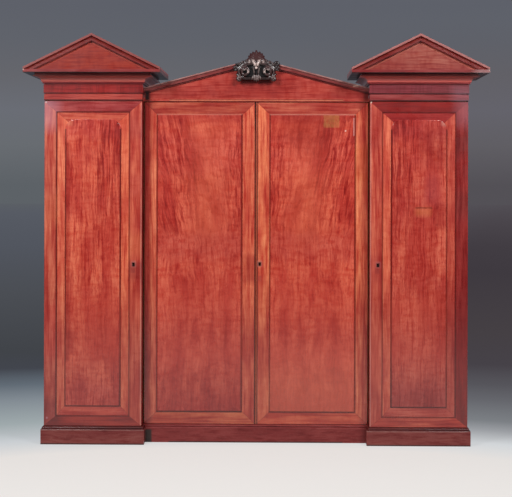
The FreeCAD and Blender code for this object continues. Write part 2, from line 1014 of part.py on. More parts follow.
def right_centre_fittings():
    lock = lock_case(centre_lock_edge(), centre_front, centre_keyhole())
    return [lock, escutcheon(centre_keyhole(), centre_front)] + door_sockets(centre_pivot())


# The keeper on the left door that takes the centre lock's bolt
def bolt_keeper():
    edge = left_meeting_edge - centre_lock_inset
    back = centre_front + door_thickness
    half = lock_bolt_height / 2 + mortise_play
    wall = half + lock_wall
    body = block(
        edge - keeper_width, edge, back, back + lock_depth,
        keyhole_bolt_level - wall, keyhole_bolt_level + wall)
    near, far = lock_bolt_depths(centre_front)
    bolt_tip = centre_lock_edge() - lock_throw
    slot = block(
        bolt_tip - mortise_spare, edge + cut_margin, near - mortise_play, far + mortise_play,
        keyhole_bolt_level - half, keyhole_bolt_level + half)
    return without(body, [slot])


def bolt_bar_depths():
    near = centre_front + door_thickness + bolt_stand_off
    return near, near + bolt_bar_thickness


def bolt_bar(z_low):
    middle = left_meeting_edge - bolt_inset
    near, far = bolt_bar_depths()
    half = bolt_bar_width / 2
    bar = block(middle - half, middle + half, near, far, z_low, z_low + bolt_bar_length)
    stud_centre = vector(middle, far, z_low + bolt_bar_length / 2)
    return bar.fuse(Part.makeCylinder(stud_radius, stud_length, stud_centre, backward)).Solids[0]


def bolt_top_level():
    return deck_under - bolt_end_gap - bolt_bar_length


def bolt_bottom_level():
    return deck_top + bolt_end_gap


# A back plate with two staples that a bolt bar slides in
def bolt_plate(bar_low):
    middle = left_meeting_edge - bolt_inset
    half = bolt_plate_width / 2
    back = centre_front + door_thickness
    near, far = bolt_bar_depths()
    bar_middle = bar_low + bolt_bar_length / 2
    low = bar_middle - bolt_plate_length / 2
    high = bar_middle + bolt_plate_length / 2
    body = block(middle - half, middle + half, back, back + plate_thickness, low, high)
    for foot in (low, high - staple_length):
        body = body.fuse(
            block(middle - half, middle + half, back, far + staple_wall, foot, foot + staple_length))
    slot_half = bolt_bar_width / 2 + slide_play
    slot = block(
        middle - slot_half, middle + slot_half, near - slide_play, far + slide_play,
        low - cut_margin, high + cut_margin)
    return without(body, [slot])


def left_centre_fittings():
    sockets = [mirrored(plate) for plate in door_sockets(centre_pivot())]
    return sockets + [bolt_keeper(), bolt_plate(bolt_top_level()), bolt_plate(bolt_bottom_level())]


# Centre interior. Each sliding piece is drawn at rest, pushed back.

def bay_half():
    return wing_inner - side_thickness


# The level of the floor of drawer row 0, 1, ... from below
def drawer_floor(row):
    return deck_top + row * (long_drawer_height + drawer_head_gap + seat_gap + divider_thickness)


def drawers_top():
    foot = drawer_floor(long_drawer_count)
    return foot + short_drawer_height + drawer_head_gap + seat_gap + divider_thickness


def drawer_dividers():
    half = bay_half()
    tops = [drawer_floor(row) for row in range(1, long_drawer_count + 1)] + [drawers_top()]
    boards = [block(-half, half, slide_front, inner_back, top - divider_thickness, top) for top in tops]
    half_post = divider_thickness / 2
    post_foot = drawer_floor(long_drawer_count)
    post_head = drawers_top() - divider_thickness
    boards.append(block(-half_post, half_post, slide_front, inner_back, post_foot, post_head))
    return boards


def drawer_knob(x, level):
    neck = Part.makeCylinder(knob_neck_radius, knob_neck, vector(x, slide_front, level), forward)
    head_at = vector(x, slide_front - knob_neck, level)
    head = Part.makeCylinder(knob_radius, knob_head, head_at, forward)
    rims = [edge for edge in head.Edges if edge.BoundBox.YLength < knob_rounding / 10]
    return neck.fuse(head.makeFillet(knob_rounding, rims)).Solids[0]


# A box open at the top: front, two sides, back and bottom
def open_box(x_low, x_high, foot, front_height, side_height, front_board):
    inside = slide_front + front_board
    side_top = foot + side_height
    in_low, in_high = x_low + drawer_lining, x_high - drawer_lining
    back_inside = slide_back - drawer_lining
    return [
        block(x_low, x_high, slide_front, inside, foot, foot + front_height),
        block(x_low, in_low, inside, slide_back, foot, side_top),
        block(in_high, x_high, inside, slide_back, foot, side_top),
        block(in_low, in_high, back_inside, slide_back, foot, side_top),
        block(in_low, in_high, inside, back_inside, foot, foot + drawer_bottom),
    ]


def drawer(x_low, x_high, floor, height, knob_places):
    foot = floor + seat_gap
    low, high = x_low + drawer_side_gap, x_high - drawer_side_gap
    body = open_box(low, high, foot, height, height - drawer_side_drop, drawer_front)
    return body + [drawer_knob(x, foot + height / 2) for x in knob_places]


def short_drawer():
    low, high = divider_thickness / 2, bay_half()
    return drawer(low, high, drawer_floor(long_drawer_count), short_drawer_height, [(low + high) / 2])


# The trays share the height between the drawers and the top
def runner_top(tray):
    first_top = drawers_top() + tray_first_rise
    return first_top + tray * (deck_under - first_top) / tray_count


def tray_runners():
    half = bay_half()
    runners = []
    for tray in range(tray_count):
        top = runner_top(tray)
        runner = block(half - runner_width, half, slide_front, inner_back, top - runner_height, top)
        runners += [runner, mirrored(runner)]
    return runners


def linen_tray(tray):
    half = bay_half() - tray_side_gap
    foot = runner_top(tray) + seat_gap
    return open_box(-half, half, foot, tray_front_height, tray_height, drawer_lining)


# Files

def save(name, solids):
    shape = solids[0] if len(solids) == 1 else Part.makeCompound(solids)
    shape.exportStep("parts/" + name + ".step")
    print(name, len(solids), "solids,", "valid" if shape.isValid() else "NOT VALID")


# The same piece on the right and, mirrored, on the left
def save_pair(name, solids):
    save("right_" + name, solids)
    save("left_" + name, [mirrored(solid) for solid in solids])


os.makedirs("parts", exist_ok=True)

save_pair("plinth", right_plinth())
save("centre_plinth", centre_plinth())
save_pair("inner_side", [right_inner_side()])
save_pair("outer_side", [right_outer_side()])
save("centre_sides", centre_sides())
save("case_floors", case_floors())
save("case_tops", case_tops())
save("case_backs", case_backs())
save("hat_shelves", hat_shelves())
save("hanging_rails", hanging_rails())
save("rail_sockets", rail_sockets())
save_pair("entablature", right_entablature())
save_pair("cornice", right_cornice())
save_pair("tympanum", [right_tympanum()])
save_pair("rake_mouldings", right_rake_mouldings())
save("centre_cornice_board", [centre_cornice_board()])
save("centre_pediment", centre_pediment())
save("centre_rake_mouldings", centre_rake_mouldings())
save("crest", [crest()])
save("pivot_plates", pivot_plates())

save_pair("wing_door_frame", wing_door_frame())
save_pair("wing_door_band", [wing_door_band()])
save_pair("wing_door_field", [wing_door_field()])
save_pair("wing_door_fittings", wing_door_fittings())
save_pair("wing_door_bolt", [wing_door_bolt()])

save("right_centre_door_frame", right_centre_frame())
save("right_centre_door_panel", [centre_door_panel(right_centre_free_edge())])
save("right_centre_door_bead", [meeting_bead()])
save("right_centre_door_fittings", right_centre_fittings())
save("right_centre_door_bolt", [lock_bolt(centre_lock_edge(), centre_front)])

left_free_edge = -left_meeting_edge
save("left_centre_door_frame", [mirrored(board) for board in centre_door_frame(left_free_edge, [])])
save("left_centre_door_panel", [mirrored(centre_door_panel(left_free_edge))])
save("left_centre_door_fittings", left_centre_fittings())
save("left_centre_door_top_bolt", [bolt_bar(bolt_top_level())])
save("left_centre_door_bottom_bolt", [bolt_bar(bolt_bottom_level())])

save("drawer_dividers", drawer_dividers())
save("tray_runners", tray_runners())
for row in range(long_drawer_count):
    knobs = [-knob_spread, knob_spread]
    long_drawer = drawer(-bay_half(), bay_half(), drawer_floor(row), long_drawer_height, knobs)
    save("long_drawer_" + str(row + 1), long_drawer)
save_pair("short_drawer", short_drawer())
for tray in range(tray_count):
    save("linen_tray_" + str(tray + 1), linen_tray(tray))
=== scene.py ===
import math

import bpy
from mathutils import Matrix, Vector


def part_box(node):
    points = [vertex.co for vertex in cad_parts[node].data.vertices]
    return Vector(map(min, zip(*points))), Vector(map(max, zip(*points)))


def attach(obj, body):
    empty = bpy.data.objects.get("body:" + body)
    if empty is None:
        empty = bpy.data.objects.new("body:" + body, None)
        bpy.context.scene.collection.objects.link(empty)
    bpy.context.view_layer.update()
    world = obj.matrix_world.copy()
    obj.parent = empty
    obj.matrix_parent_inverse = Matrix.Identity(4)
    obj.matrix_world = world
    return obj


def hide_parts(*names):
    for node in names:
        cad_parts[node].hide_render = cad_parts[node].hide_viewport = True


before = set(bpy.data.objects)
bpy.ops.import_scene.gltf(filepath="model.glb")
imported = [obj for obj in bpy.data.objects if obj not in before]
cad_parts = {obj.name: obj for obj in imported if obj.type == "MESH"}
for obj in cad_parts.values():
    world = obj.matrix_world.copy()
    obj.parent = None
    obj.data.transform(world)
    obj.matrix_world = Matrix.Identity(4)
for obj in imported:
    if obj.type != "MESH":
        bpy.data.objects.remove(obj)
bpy.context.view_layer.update()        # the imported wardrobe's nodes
print("loaded", len(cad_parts), "nodes")


# sRGB hex to the linear colour that a shader works in
def hexColour(text):
    parts = [int(text[i:i + 2], 16) / 255 for i in (1, 3, 5)]
    return [part / 12.92 if part <= 0.04045 else ((part + 0.055) / 1.055) ** 2.4 for part in parts] + [1.0]


# Adds one shader node with its settings. An input takes a value, a socket or a node, which
# stands for its first live output.
def addNode(tree, kind, inputs=None, **settings):
    node = tree.nodes.new("ShaderNode" + kind)
    for name, value in settings.items():
        setattr(node, name, value)
    for key, value in (inputs or {}).items():
        if isinstance(value, bpy.types.Node):
            value = next(output for output in value.outputs if output.enabled)
        if isinstance(value, bpy.types.NodeSocket):
            tree.links.new(value, node.inputs[key])
        else:
            node.inputs[key].default_value = value
    return node


# Fills a colour ramp from (position, hex) stops
def fillRamp(ramp, stops):
    while len(ramp.elements) < len(stops):
        ramp.elements.new(0.5)
    for element, (position, colour) in zip(ramp.elements, stops):
        element.position = position
        element.color = hexColour(colour)


def freshMaterial(name):
    material = bpy.data.materials.new(name)
    material.use_nodes = True
    material.node_tree.nodes.clear()
    return material


# The studio: a pale floor that falls away to a grey haze
studio = {
    "floorRadius": 120.0,
    "floorDrop": 0.0006,           # the floor lies this far below the feet
    "glowCentre": (0.0, -2.6),     # the middle of the lit patch of floor
    "glowShare": 0.7,              # how much of the near floor's tone is its own glow
    "glowBlend": (3.0, 6.0),       # distances between which that share rises to all of it
    "bounce": 0.17,                # how much of its tone it throws back on the wood
    "nearReach": 0.7,              # the lit patch reaches further towards the camera
    "sideSpread": 0.14,            # sideways share of the distance at which a side's tones are full
    # tones of the haze by distance in metres, on the left and on the right
    "hazeLeft": [
        (2.3, "#EBE8E5"), (2.8, "#D4D9DD"), (3.5, "#ABB6B9"), (4.6, "#89929A"), (5.5, "#636D77"),
        (6.6, "#42454D"), (8.0, "#414449"), (16.0, "#4B4E54"), (34.0, "#52565F"), (80.0, "#575B64"),
        (120.0, "#5B5F65")],
    "hazeRight": [
        (2.3, "#EBE8E5"), (2.8, "#DDE1E4"), (3.3, "#A8ABB0"), (3.7, "#85898E"), (4.7, "#6A6B71"),
        (5.6, "#57565C"), (7.0, "#464248"), (10.0, "#454044"), (22.0, "#3F3A40"), (34.0, "#423D43"),
        (60.0, "#4A454B"), (120.0, "#524E54")],
    # tones behind the floor by height in degrees, and the light that they give
    "sky": [
        (0.0, "#5D6267"), (1.35, "#686C71"), (2.5, "#6A6D75"), (3.7, "#65666C"), (4.9, "#60636B"),
        (6.1, "#5E616A")],
    "ambient": 0.14,
    # the right side of the haze is dimmer and redder, up to a height in degrees
    "skyDusk": (0.80, 0.67, 0.69, 1.0),
    "duskTop": 5.6,
    "duskSpread": 0.1,
}


def studioFloor():
    bpy.ops.object.select_all(action="DESELECT")
    bpy.ops.mesh.primitive_circle_add(
        vertices=128, radius=studio["floorRadius"], fill_type="NGON", location=(0, 0, -studio["floorDrop"]))
    floor = bpy.context.object
    floor.name = "studioFloor"
    bpy.ops.object.transform_apply(location=True)
    material = freshMaterial("painted_studio_floor")
    tree = material.node_tree
    place = addNode(tree, "TexCoord").outputs["Object"]
    offset = addNode(tree, "VectorMath", {0: place, 1: (*studio["glowCentre"], 0.0)}, operation="SUBTRACT")
    across, along, up = addNode(tree, "SeparateXYZ", {0: offset}).outputs
    closer = addNode(tree, "Math", {0: along, 1: studio["nearReach"]}, operation="MULTIPLY")
    along = addNode(tree, "Math", {0: along, 1: closer}, operation="MAXIMUM")
    offset = addNode(tree, "CombineXYZ", {0: across, 1: along, 2: up})
    far = addNode(tree, "VectorMath", {0: offset}, operation="LENGTH")
    # the haze is set out by the logarithm of the distance, so near tones get room
    near, last = studio["hazeLeft"][0][0], studio["hazeLeft"][-1][0]
    log = addNode(tree, "Math", {0: far, 1: math.e}, operation="LOGARITHM")
    step = addNode(tree, "MapRange", {0: log, 1: math.log(near), 2: math.log(last), 3: 0.0, 4: 1.0})
    leftRamp = addNode(tree, "ValToRGB", {0: step})
    rightRamp = addNode(tree, "ValToRGB", {0: step})
    for ramp, tones in ((leftRamp, studio["hazeLeft"]), (rightRamp, studio["hazeRight"])):
        fillRamp(ramp.color_ramp, [(math.log(r / near) / math.log(last / near), tone) for r, tone in tones])
    spread = studio["sideSpread"]
    ratio = addNode(tree, "Math", {0: across, 1: far}, operation="DIVIDE")
    side = addNode(tree, "MapRange", {0: ratio, 1: -spread, 2: spread, 3: 0.0, 4: 1.0})
    tone = addNode(tree, "Mix", {0: side, 6: leftRamp, 7: rightRamp}, data_type="RGBA")
    light = addNode(tree, "LightPath").outputs
    diffuse, bounce = light["Is Diffuse Ray"], studio["bounce"]
    thrown = addNode(tree, "MapRange", {0: diffuse, 1: 0.0, 2: 1.0, 3: 1.0, 4: bounce})
    body = addNode(tree, "VectorMath", {0: tone, "Scale": thrown}, operation="SCALE")
    matt = addNode(tree, "BsdfPrincipled", {"Base Color": body, "Roughness": 0.85, "Specular IOR Level": 0.1})
    glow = addNode(tree, "Emission", {0: tone})
    seen = addNode(tree, "Math", {0: light["Is Camera Ray"], 1: light["Is Glossy Ray"]}, operation="MAXIMUM")
    start, full = studio["glowBlend"]
    share = addNode(tree, "MapRange", {0: far, 1: start, 2: full, 3: studio["glowShare"], 4: 1.0})
    both = addNode(tree, "Math", {0: seen, 1: share}, operation="MULTIPLY")
    mixed = addNode(tree, "MixShader", {0: both, 1: matt, 2: glow})
    addNode(tree, "OutputMaterial", {0: mixed})
    floor.data.materials.append(material)


def studioHaze():
    world = bpy.data.worlds.new("studioHaze")
    world.use_nodes = True
    tree = world.node_tree
    tree.nodes.clear()
    way = addNode(tree, "TexCoord").outputs["Generated"]
    across, along, up = addNode(tree, "SeparateXYZ", {0: way}).outputs
    height = addNode(tree, "Math", {0: up}, operation="ARCSINE")
    top = math.radians(studio["sky"][-1][0])
    step = addNode(tree, "MapRange", {0: height, 1: 0.0, 2: top, 3: 0.0, 4: 1.0})
    ramp = addNode(tree, "ValToRGB", {0: step})
    fillRamp(ramp.color_ramp, [(math.radians(angle) / top, tone) for angle, tone in studio["sky"]])
    right = addNode(tree, "MapRange", {0: across, 1: 0.0, 2: studio["duskSpread"], 3: 0.0, 4: 1.0})
    low = addNode(tree, "MapRange", {0: height, 1: math.radians(studio["duskTop"]), 2: 0.0, 3: 0.0, 4: 1.0})
    dusk = addNode(tree, "Math", {0: right, 1: low}, operation="MULTIPLY")
    dim = addNode(tree, "Mix", {0: dusk, 6: (1, 1, 1, 1), 7: studio["skyDusk"]}, data_type="RGBA")
    tone = addNode(tree, "VectorMath", {0: ramp, 1: dim}, operation="MULTIPLY")
    light = addNode(tree, "LightPath").outputs
    seen = addNode(tree, "Math", {0: light["Is Camera Ray"], 1: light["Is Glossy Ray"]}, operation="MAXIMUM")
    shown = addNode(tree, "Background", {0: tone, 1: 1.0})
    ambient = addNode(tree, "Background", {0: (1.0, 1.0, 1.0, 1.0), 1: studio["ambient"]})
    mixed = addNode(tree, "MixShader", {0: seen, 1: ambient, 2: shown})
    addNode(tree, "OutputWorld", {0: mixed})
    bpy.context.scene.world = world


lamps = {
    "leftSoftbox": {"place": (-2.3, -4.2, 4.1), "aim": (-0.4, -0.2, 1.4), "size": (1.5, 1.3), "watts": 162},
    "rightSoftbox": {"place": (2.3, -4.2, 4.1), "aim": (0.4, -0.2, 1.4), "size": (1.5, 1.3), "watts": 162},
    # two weak ones whose reflections lie on the upper outer corners of the wings
    "leftSheen": {"place": (-2.5, -4.5, 2.75), "aim": (-1.0, -0.2, 1.6), "size": (1.3, 1.9), "watts": 7},
    "rightSheen": {"place": (2.5, -4.5, 2.75), "aim": (1.0, -0.2, 1.6), "size": (1.3, 1.9), "watts": 7},
}


def studioLamps():
    for name, lamp in lamps.items():
        bpy.ops.object.select_all(action="DESELECT")
        place, aim = Vector(lamp["place"]), Vector(lamp["aim"])
        turn = (place - aim).to_track_quat("Z", "Y").to_euler()
        bpy.ops.object.light_add(type="AREA", location=place, rotation=turn)
        light = bpy.context.object
        light.name = name
        light.data.shape = "RECTANGLE"
        light.data.size, light.data.size_y = lamp["size"]
        light.data.energy = lamp["watts"]


# metres, degrees and millimetres; rise is in frame widths
view = {"place": (0.154, -9.871, 1.485), "turn": 0.91, "roll": 0.159, "lens": 118.59, "rise": -0.1244}


def photoCamera():
    bpy.ops.object.select_all(action="DESELECT")
    bpy.ops.object.camera_add()
    camera = bpy.context.object
    camera.name = "photoCamera"
    turn = Matrix.Rotation(math.radians(view["turn"]), 4, "Z")
    roll = Matrix.Rotation(math.radians(view["roll"]), 4, "Z")
    level = Matrix.Rotation(math.radians(90), 4, "X")
    camera.matrix_world = Matrix.Translation(view["place"]) @ turn @ level @ roll
    camera.data.lens = view["lens"]
    camera.data.shift_y = view["rise"]     # the photograph was framed below the camera's level
    camera.data.clip_end = 400
    bpy.context.scene.camera = camera


bpy.context.scene.view_settings.view_transform = "Standard"
studioFloor()
studioHaze()
studioLamps()
photoCamera()
print("studio set")


# a dark line along each mitre; its width is a share of a member's width
mitreLine = {"width": 0.05, "strength": 0.5, "colour": "#8A5050"}


# Four members that meet on mitres: rails where the nearer edge is the top or the foot. Each member
# is its own stick of wood, so it has its own tint.
def mitredPlace(tree, look, x, z, upright, level):
    low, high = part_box(look["node"])
    stile, foot, head = look["members"]
    below = addNode(tree, "Math", {0: z, 1: low[2]}, operation="SUBTRACT")
    below = addNode(tree, "Math", {0: below, 1: foot}, operation="DIVIDE")
    above = addNode(tree, "Math", {0: high[2], 1: z}, operation="SUBTRACT")
    above = addNode(tree, "Math", {0: above, 1: head}, operation="DIVIDE")
    rails = addNode(tree, "Math", {0: below, 1: above}, operation="MINIMUM")
    before = addNode(tree, "Math", {0: x, 1: low[0]}, operation="SUBTRACT")
    beyond = addNode(tree, "Math", {0: high[0], 1: x}, operation="SUBTRACT")
    stiles = addNode(tree, "Math", {0: before, 1: beyond}, operation="MINIMUM")
    stiles = addNode(tree, "Math", {0: stiles, 1: stile}, operation="DIVIDE")
    isRail = addNode(tree, "Math", {0: rails, 1: stiles}, operation="LESS_THAN")
    gap = addNode(tree, "Math", {0: rails, 1: stiles}, operation="SUBTRACT")
    gap = addNode(tree, "Math", {0: gap}, operation="ABSOLUTE")
    width, strength = mitreLine["width"], mitreLine["strength"]
    joint = addNode(tree, "MapRange", {0: gap, 1: 0.0, 2: width, 3: strength, 4: 0.0})
    grain = addNode(tree, "Mix", {0: isRail, 4: upright, 5: level}, data_type="VECTOR")
    left, right, top, base = [hexColour(tone) for tone in look["tints"]]
    isRight = addNode(tree, "Math", {0: x, 1: (low[0] + high[0]) / 2}, operation="GREATER_THAN")
    isTop = addNode(tree, "Math", {0: z, 1: (low[2] + high[2]) / 2}, operation="GREATER_THAN")
    sides = addNode(tree, "Mix", {0: isRight, 6: left, 7: right}, data_type="RGBA")
    ends = addNode(tree, "Mix", {0: isTop, 6: base, 7: top}, data_type="RGBA")
    tint = addNode(tree, "Mix", {0: isRail, 6: sides, 7: ends}, data_type="RGBA")
    return grain, joint, tint


# The vector that a wood figure reads: across the grain, through the board, along the grain
def grainPlace(tree, look):
    place = addNode(tree, "TexCoord").outputs["Object"]
    x, y, z = addNode(tree, "SeparateXYZ", {0: place}).outputs
    if "lean" in look:
        # book-matched leaves: the figure mirrors about the meeting line and leans to it further down
        above = addNode(tree, "Math", {0: z, 1: look["leanFrom"]}, operation="SUBTRACT")
        above = addNode(tree, "Math", {0: above, 1: 0.0}, operation="MAXIMUM")
        pull = addNode(tree, "Math", {0: above, 1: -look["lean"], 2: 1.0}, operation="MULTIPLY_ADD")
        side = addNode(tree, "Math", {0: x}, operation="ABSOLUTE")
        x = addNode(tree, "Math", {0: side, 1: pull}, operation="MULTIPLY")
    upright = addNode(tree, "CombineXYZ", {0: x, 1: y, 2: z})
    level = addNode(tree, "CombineXYZ", {0: z, 1: y, 2: x})
    joint, tint = None, None
    if look["grain"] == "upright":
        grain = upright
    elif look["grain"] == "level":
        grain = level
    elif look["grain"] == "mitred":
        grain, joint, tint = mitredPlace(tree, look, x, z, upright, level)
    else:
        # a moulding that returns along the sides: there the grain runs from front to back
        side = addNode(tree, "Math", {0: x}, operation="ABSOLUTE")
        outer = addNode(tree, "Math", {0: side, 1: look["outer"]}, operation="SUBTRACT")
        inner = addNode(tree, "Math", {0: look["inner"], 1: side}, operation="SUBTRACT")
        reach = addNode(tree, "Math", {0: outer, 1: inner}, operation="MAXIMUM")
        front = addNode(tree, "Math", {0: look["front"], 1: y}, operation="SUBTRACT")
        isSide = addNode(tree, "Math", {0: reach, 1: front}, operation="GREATER_THAN")
        run = addNode(tree, "CombineXYZ", {0: z, 1: x, 2: y})
        grain = addNode(tree, "Mix", {0: isSide, 4: level, 5: run}, data_type="VECTOR")
    # no tree grows straight: the grain wanders sideways by a few millimetres
    drift = addNode(tree, "TexNoise", {"Vector": place, "Scale": 4.5, "Detail": 2.0}).outputs["Color"]
    drift = addNode(tree, "VectorMath", {0: drift, 1: (0.5, 0.5, 0.5)}, operation="SUBTRACT")
    drift = addNode(tree, "VectorMath", {0: drift, "Scale": look.get("wander", 0.03)}, operation="SCALE")
    moved = addNode(tree, "VectorMath", {0: grain, 1: look.get("cut", (0, 0, 0))}, operation="ADD")
    moved = addNode(tree, "VectorMath", {0: moved, 1: drift}, operation="ADD")
    return place, moved, joint, tint


# A spot's middle, its half width and half height, and the soft edge round those, all in metres
def spotAt(x, z, wide, high, soft, strength=1.0, colour=None, blend="MIX", **more):
    return dict(
        more, x=x, z=z, wide=wide, high=high, soft=soft, strength=strength, colour=colour, blend=blend)


# The spot's strength on its middle, falling to 0 over its soft edge
def spotShare(tree, place, spot):
    if "slope" in spot:
        # heights are measured from a raking line, so they are folded about its peak
        x, y, z = addNode(tree, "SeparateXYZ", {0: place}).outputs
        side = addNode(tree, "Math", {0: x, 1: spot["peak"]}, operation="SUBTRACT")
        side = addNode(tree, "Math", {0: side}, operation="ABSOLUTE")
        level = addNode(tree, "Math", {0: side, 1: spot["slope"], 2: z}, operation="MULTIPLY_ADD")
        place = addNode(tree, "CombineXYZ", {0: x, 1: y, 2: level})
    offset = addNode(tree, "VectorMath", {0: place, 1: (spot["x"], 0.0, spot["z"])}, operation="SUBTRACT")
    size = addNode(tree, "VectorMath", {0: offset}, operation="ABSOLUTE")
    core = (spot["wide"], 100.0, spot["high"])     # a spot goes right through the board
    over = addNode(tree, "VectorMath", {0: size, 1: core}, operation="SUBTRACT")
    beyond = addNode(tree, "VectorMath", {0: over, 1: (0.0, 0.0, 0.0)}, operation="MAXIMUM")
    far = addNode(tree, "VectorMath", {0: beyond}, operation="LENGTH")
    if "ragged" in spot:
        rough = addNode(tree, "TexNoise", {"Vector": place, "Scale": 1.0 / spot["ragged"], "Detail": 2.0})
        far = addNode(tree, "Math", {0: rough, 1: spot["soft"], 2: far}, operation="MULTIPLY_ADD")
    return addNode(tree, "MapRange", {0: far, 1: spot["soft"], 2: 0.0, 3: 0.0, 4: spot["strength"]})


# What all the French-polished wood shares, scales per metre. Real pores are about 0.3 mm wide, and
# are drawn ten times coarser so that they show.
frenchPolish = {
    "pores": (330.0, 330.0, 25.0),
    "waves": 9.0,                      # how the polished surface swells, about 110 mm apart
    "wornPatches": 14.0,
    "wornFrom": (0.35, 0.7),
    "wavesToPores": 1.5,               # how much higher the waves stand than the pores' edges
    "bump": 0.35,
    "bumpHeight": 0.0006,
    "coatRoughness": 0.14,
    "shine": 0.3,
}


# French-polished mahogany: a warm ground, darker figure in layers, marks of age, under a thin clear polish
def mahogany(name, look):
    material = freshMaterial(name)
    tree = material.node_tree
    place, grain, joint, tint = grainPlace(tree, look)
    colour = addNode(tree, "RGB").outputs[0]
    colour.default_value = hexColour(look["ground"])
    for layer in look["figure"]:
        scale = (1000 / layer["across"], 1000 / layer["across"], 1000 / layer["along"])
        vector = addNode(tree, "VectorMath", {0: grain, 1: scale}, operation="MULTIPLY")
        pattern = addNode(tree, "TexNoise", {
            "Vector": vector, "Scale": 1.0, "Detail": layer.get("detail", 2.0), "Roughness": 0.55,
            "Distortion": layer.get("bend", 0.0)})
        share = addNode(tree, "MapRange", {
            0: pattern, 1: layer["low"], 2: layer["high"], 3: 0.0, 4: layer["strength"]})
        for spot in layer.get("within", []):
            share = addNode(tree, "Math", {0: share, 1: spotShare(tree, place, spot)}, operation="MULTIPLY")
        colour = addNode(tree, "Mix", {0: share, 6: colour, 7: hexColour(layer["tint"])},
                         data_type="RGBA", blend_type=layer.get("blend", "MULTIPLY"))
    if joint:
        colour = addNode(tree, "Mix", {0: joint, 6: colour, 7: hexColour(mitreLine["colour"])},
                         data_type="RGBA", blend_type="MULTIPLY")
        colour = addNode(tree, "Mix", {0: 1.0, 6: colour, 7: tint}, data_type="RGBA", blend_type="MULTIPLY")
    for mark in look.get("marks", []):
        share = spotShare(tree, place, mark)
        colour = addNode(tree, "Mix", {0: share, 6: colour, 7: hexColour(mark["colour"])},
                         data_type="RGBA", blend_type=mark["blend"])
    pores = addNode(tree, "VectorMath", {0: grain, 1: frenchPolish["pores"]}, operation="MULTIPLY")
    pores = addNode(tree, "TexNoise", {"Vector": pores, "Scale": 1.0, "Detail": 2.0})
    swell = addNode(tree, "TexNoise", {"Vector": place, "Scale": frenchPolish["waves"], "Detail": 1.0})
    rise = frenchPolish["wavesToPores"]
    height = addNode(tree, "Math", {0: swell, 1: rise, 2: pores}, operation="MULTIPLY_ADD")
    bump = addNode(tree, "Bump", {
        "Strength": frenchPolish["bump"], "Distance": frenchPolish["bumpHeight"], "Height": height})
    worn = addNode(tree, "TexNoise", {"Vector": place, "Scale": frenchPolish["wornPatches"], "Detail": 3.0})
    least, most = frenchPolish["wornFrom"]
    low, high = look["rough"]
    rough = addNode(tree, "MapRange", {0: worn, 1: least, 2: most, 3: low, 4: high})
    shader = addNode(tree, "BsdfPrincipled", {
        "Base Color": colour, "Roughness": rough, "Normal": bump, "Coat Weight": look["polish"],
        "Coat Roughness": frenchPolish["coatRoughness"], "Specular IOR Level": frenchPolish["shine"]})
    addNode(tree, "OutputMaterial", {0: shader})
    return material


# Pine lining: soft pale wood, waxed, with slow rings and a few knots. Scales per metre.
pine = {
    "light": "#CFA877", "middle": "#C39A69", "dark": "#AE8353", "knot": "#6E4526",
    "rings": (22.0, 22.0, 1.1),        # boards are cut through rings that wander every 45 mm
    "ringCount": 26.0,                 # how many rings one such wander crosses
    "knotSpread": (3.3, 3.3, 1.2),     # a knot every 300 mm or so
    "knotSize": (0.09, 0.04),          # a share of that spread: its soft edge and its core
    "rough": (0.45, 0.68),
}


def pineLining(name, look):
    material = freshMaterial(name)
    tree = material.node_tree
    place, grain = grainPlace(tree, look)[:2]
    scale = addNode(tree, "VectorMath", {0: grain, 1: pine["rings"]}, operation="MULTIPLY")
    rings = addNode(tree, "TexNoise", {"Vector": scale, "Scale": 1.0, "Detail": 3.0, "Distortion": 0.6})
    bands = addNode(tree, "Math", {0: rings, 1: pine["ringCount"]}, operation="MULTIPLY")
    bands = addNode(tree, "Math", {0: bands}, operation="SINE")
    share = addNode(tree, "MapRange", {0: bands, 1: -1.0, 2: 1.0, 3: 0.0, 4: 1.0})
    ramp = addNode(tree, "ValToRGB", {0: share})
    fillRamp(ramp.color_ramp, [(0.0, pine["light"]), (0.7, pine["middle"]), (1.0, pine["dark"])])
    spread = addNode(tree, "VectorMath", {0: grain, 1: pine["knotSpread"]}, operation="MULTIPLY")
    knots = addNode(tree, "TexVoronoi", {"Vector": spread, "Scale": 1.0}).outputs["Distance"]
    edge, core = pine["knotSize"]
    near = addNode(tree, "MapRange", {0: knots, 1: edge, 2: core, 3: 0.0, 4: 0.8})
    colour = addNode(tree, "Mix", {0: near, 6: ramp, 7: hexColour(pine["knot"])}, data_type="RGBA")
    dust = addNode(tree, "TexNoise", {"Vector": place, "Scale": 5.0, "Detail": 3.0})
    low, high = pine["rough"]
    rough = addNode(tree, "MapRange", {0: dust, 1: 0.3, 2: 0.7, 3: low, 4: high})
    bump = addNode(tree, "Bump", {"Strength": 0.3, "Distance": 0.0005, "Height": rings})
    shader = addNode(tree, "BsdfPrincipled", {
        "Base Color": colour, "Roughness": rough, "Normal": bump, "Specular IOR Level": 0.35})
    addNode(tree, "OutputMaterial", {0: shader})
    return material


# Aged brass: cast and filed, brown where hands don't reach, so its gloss is broken
def agedBrass(name, stops):
    material = freshMaterial(name)
    tree = material.node_tree
    place = addNode(tree, "TexCoord").outputs["Object"]
    # tarnish in patches of about 12 mm
    patches = addNode(tree, "TexNoise", {"Vector": place, "Scale": 80.0, "Detail": 4.0, "Roughness": 0.6})
    ramp = addNode(tree, "ValToRGB", {0: patches})
    fillRamp(ramp.color_ramp, stops)
    rough = addNode(tree, "MapRange", {0: patches, 1: 0.3, 2: 0.7, 3: 0.55, 4: 0.3})
    scratches = addNode(tree, "TexNoise", {"Vector": place, "Scale": 900.0, "Detail": 1.0})
    bump = addNode(tree, "Bump", {"Strength": 0.2, "Distance": 0.0002, "Height": scratches})
    shader = addNode(tree, "BsdfPrincipled", {
        "Base Color": ramp, "Metallic": 1.0, "Roughness": rough, "Normal": bump})
    addNode(tree, "OutputMaterial", {0: shader})
    return material


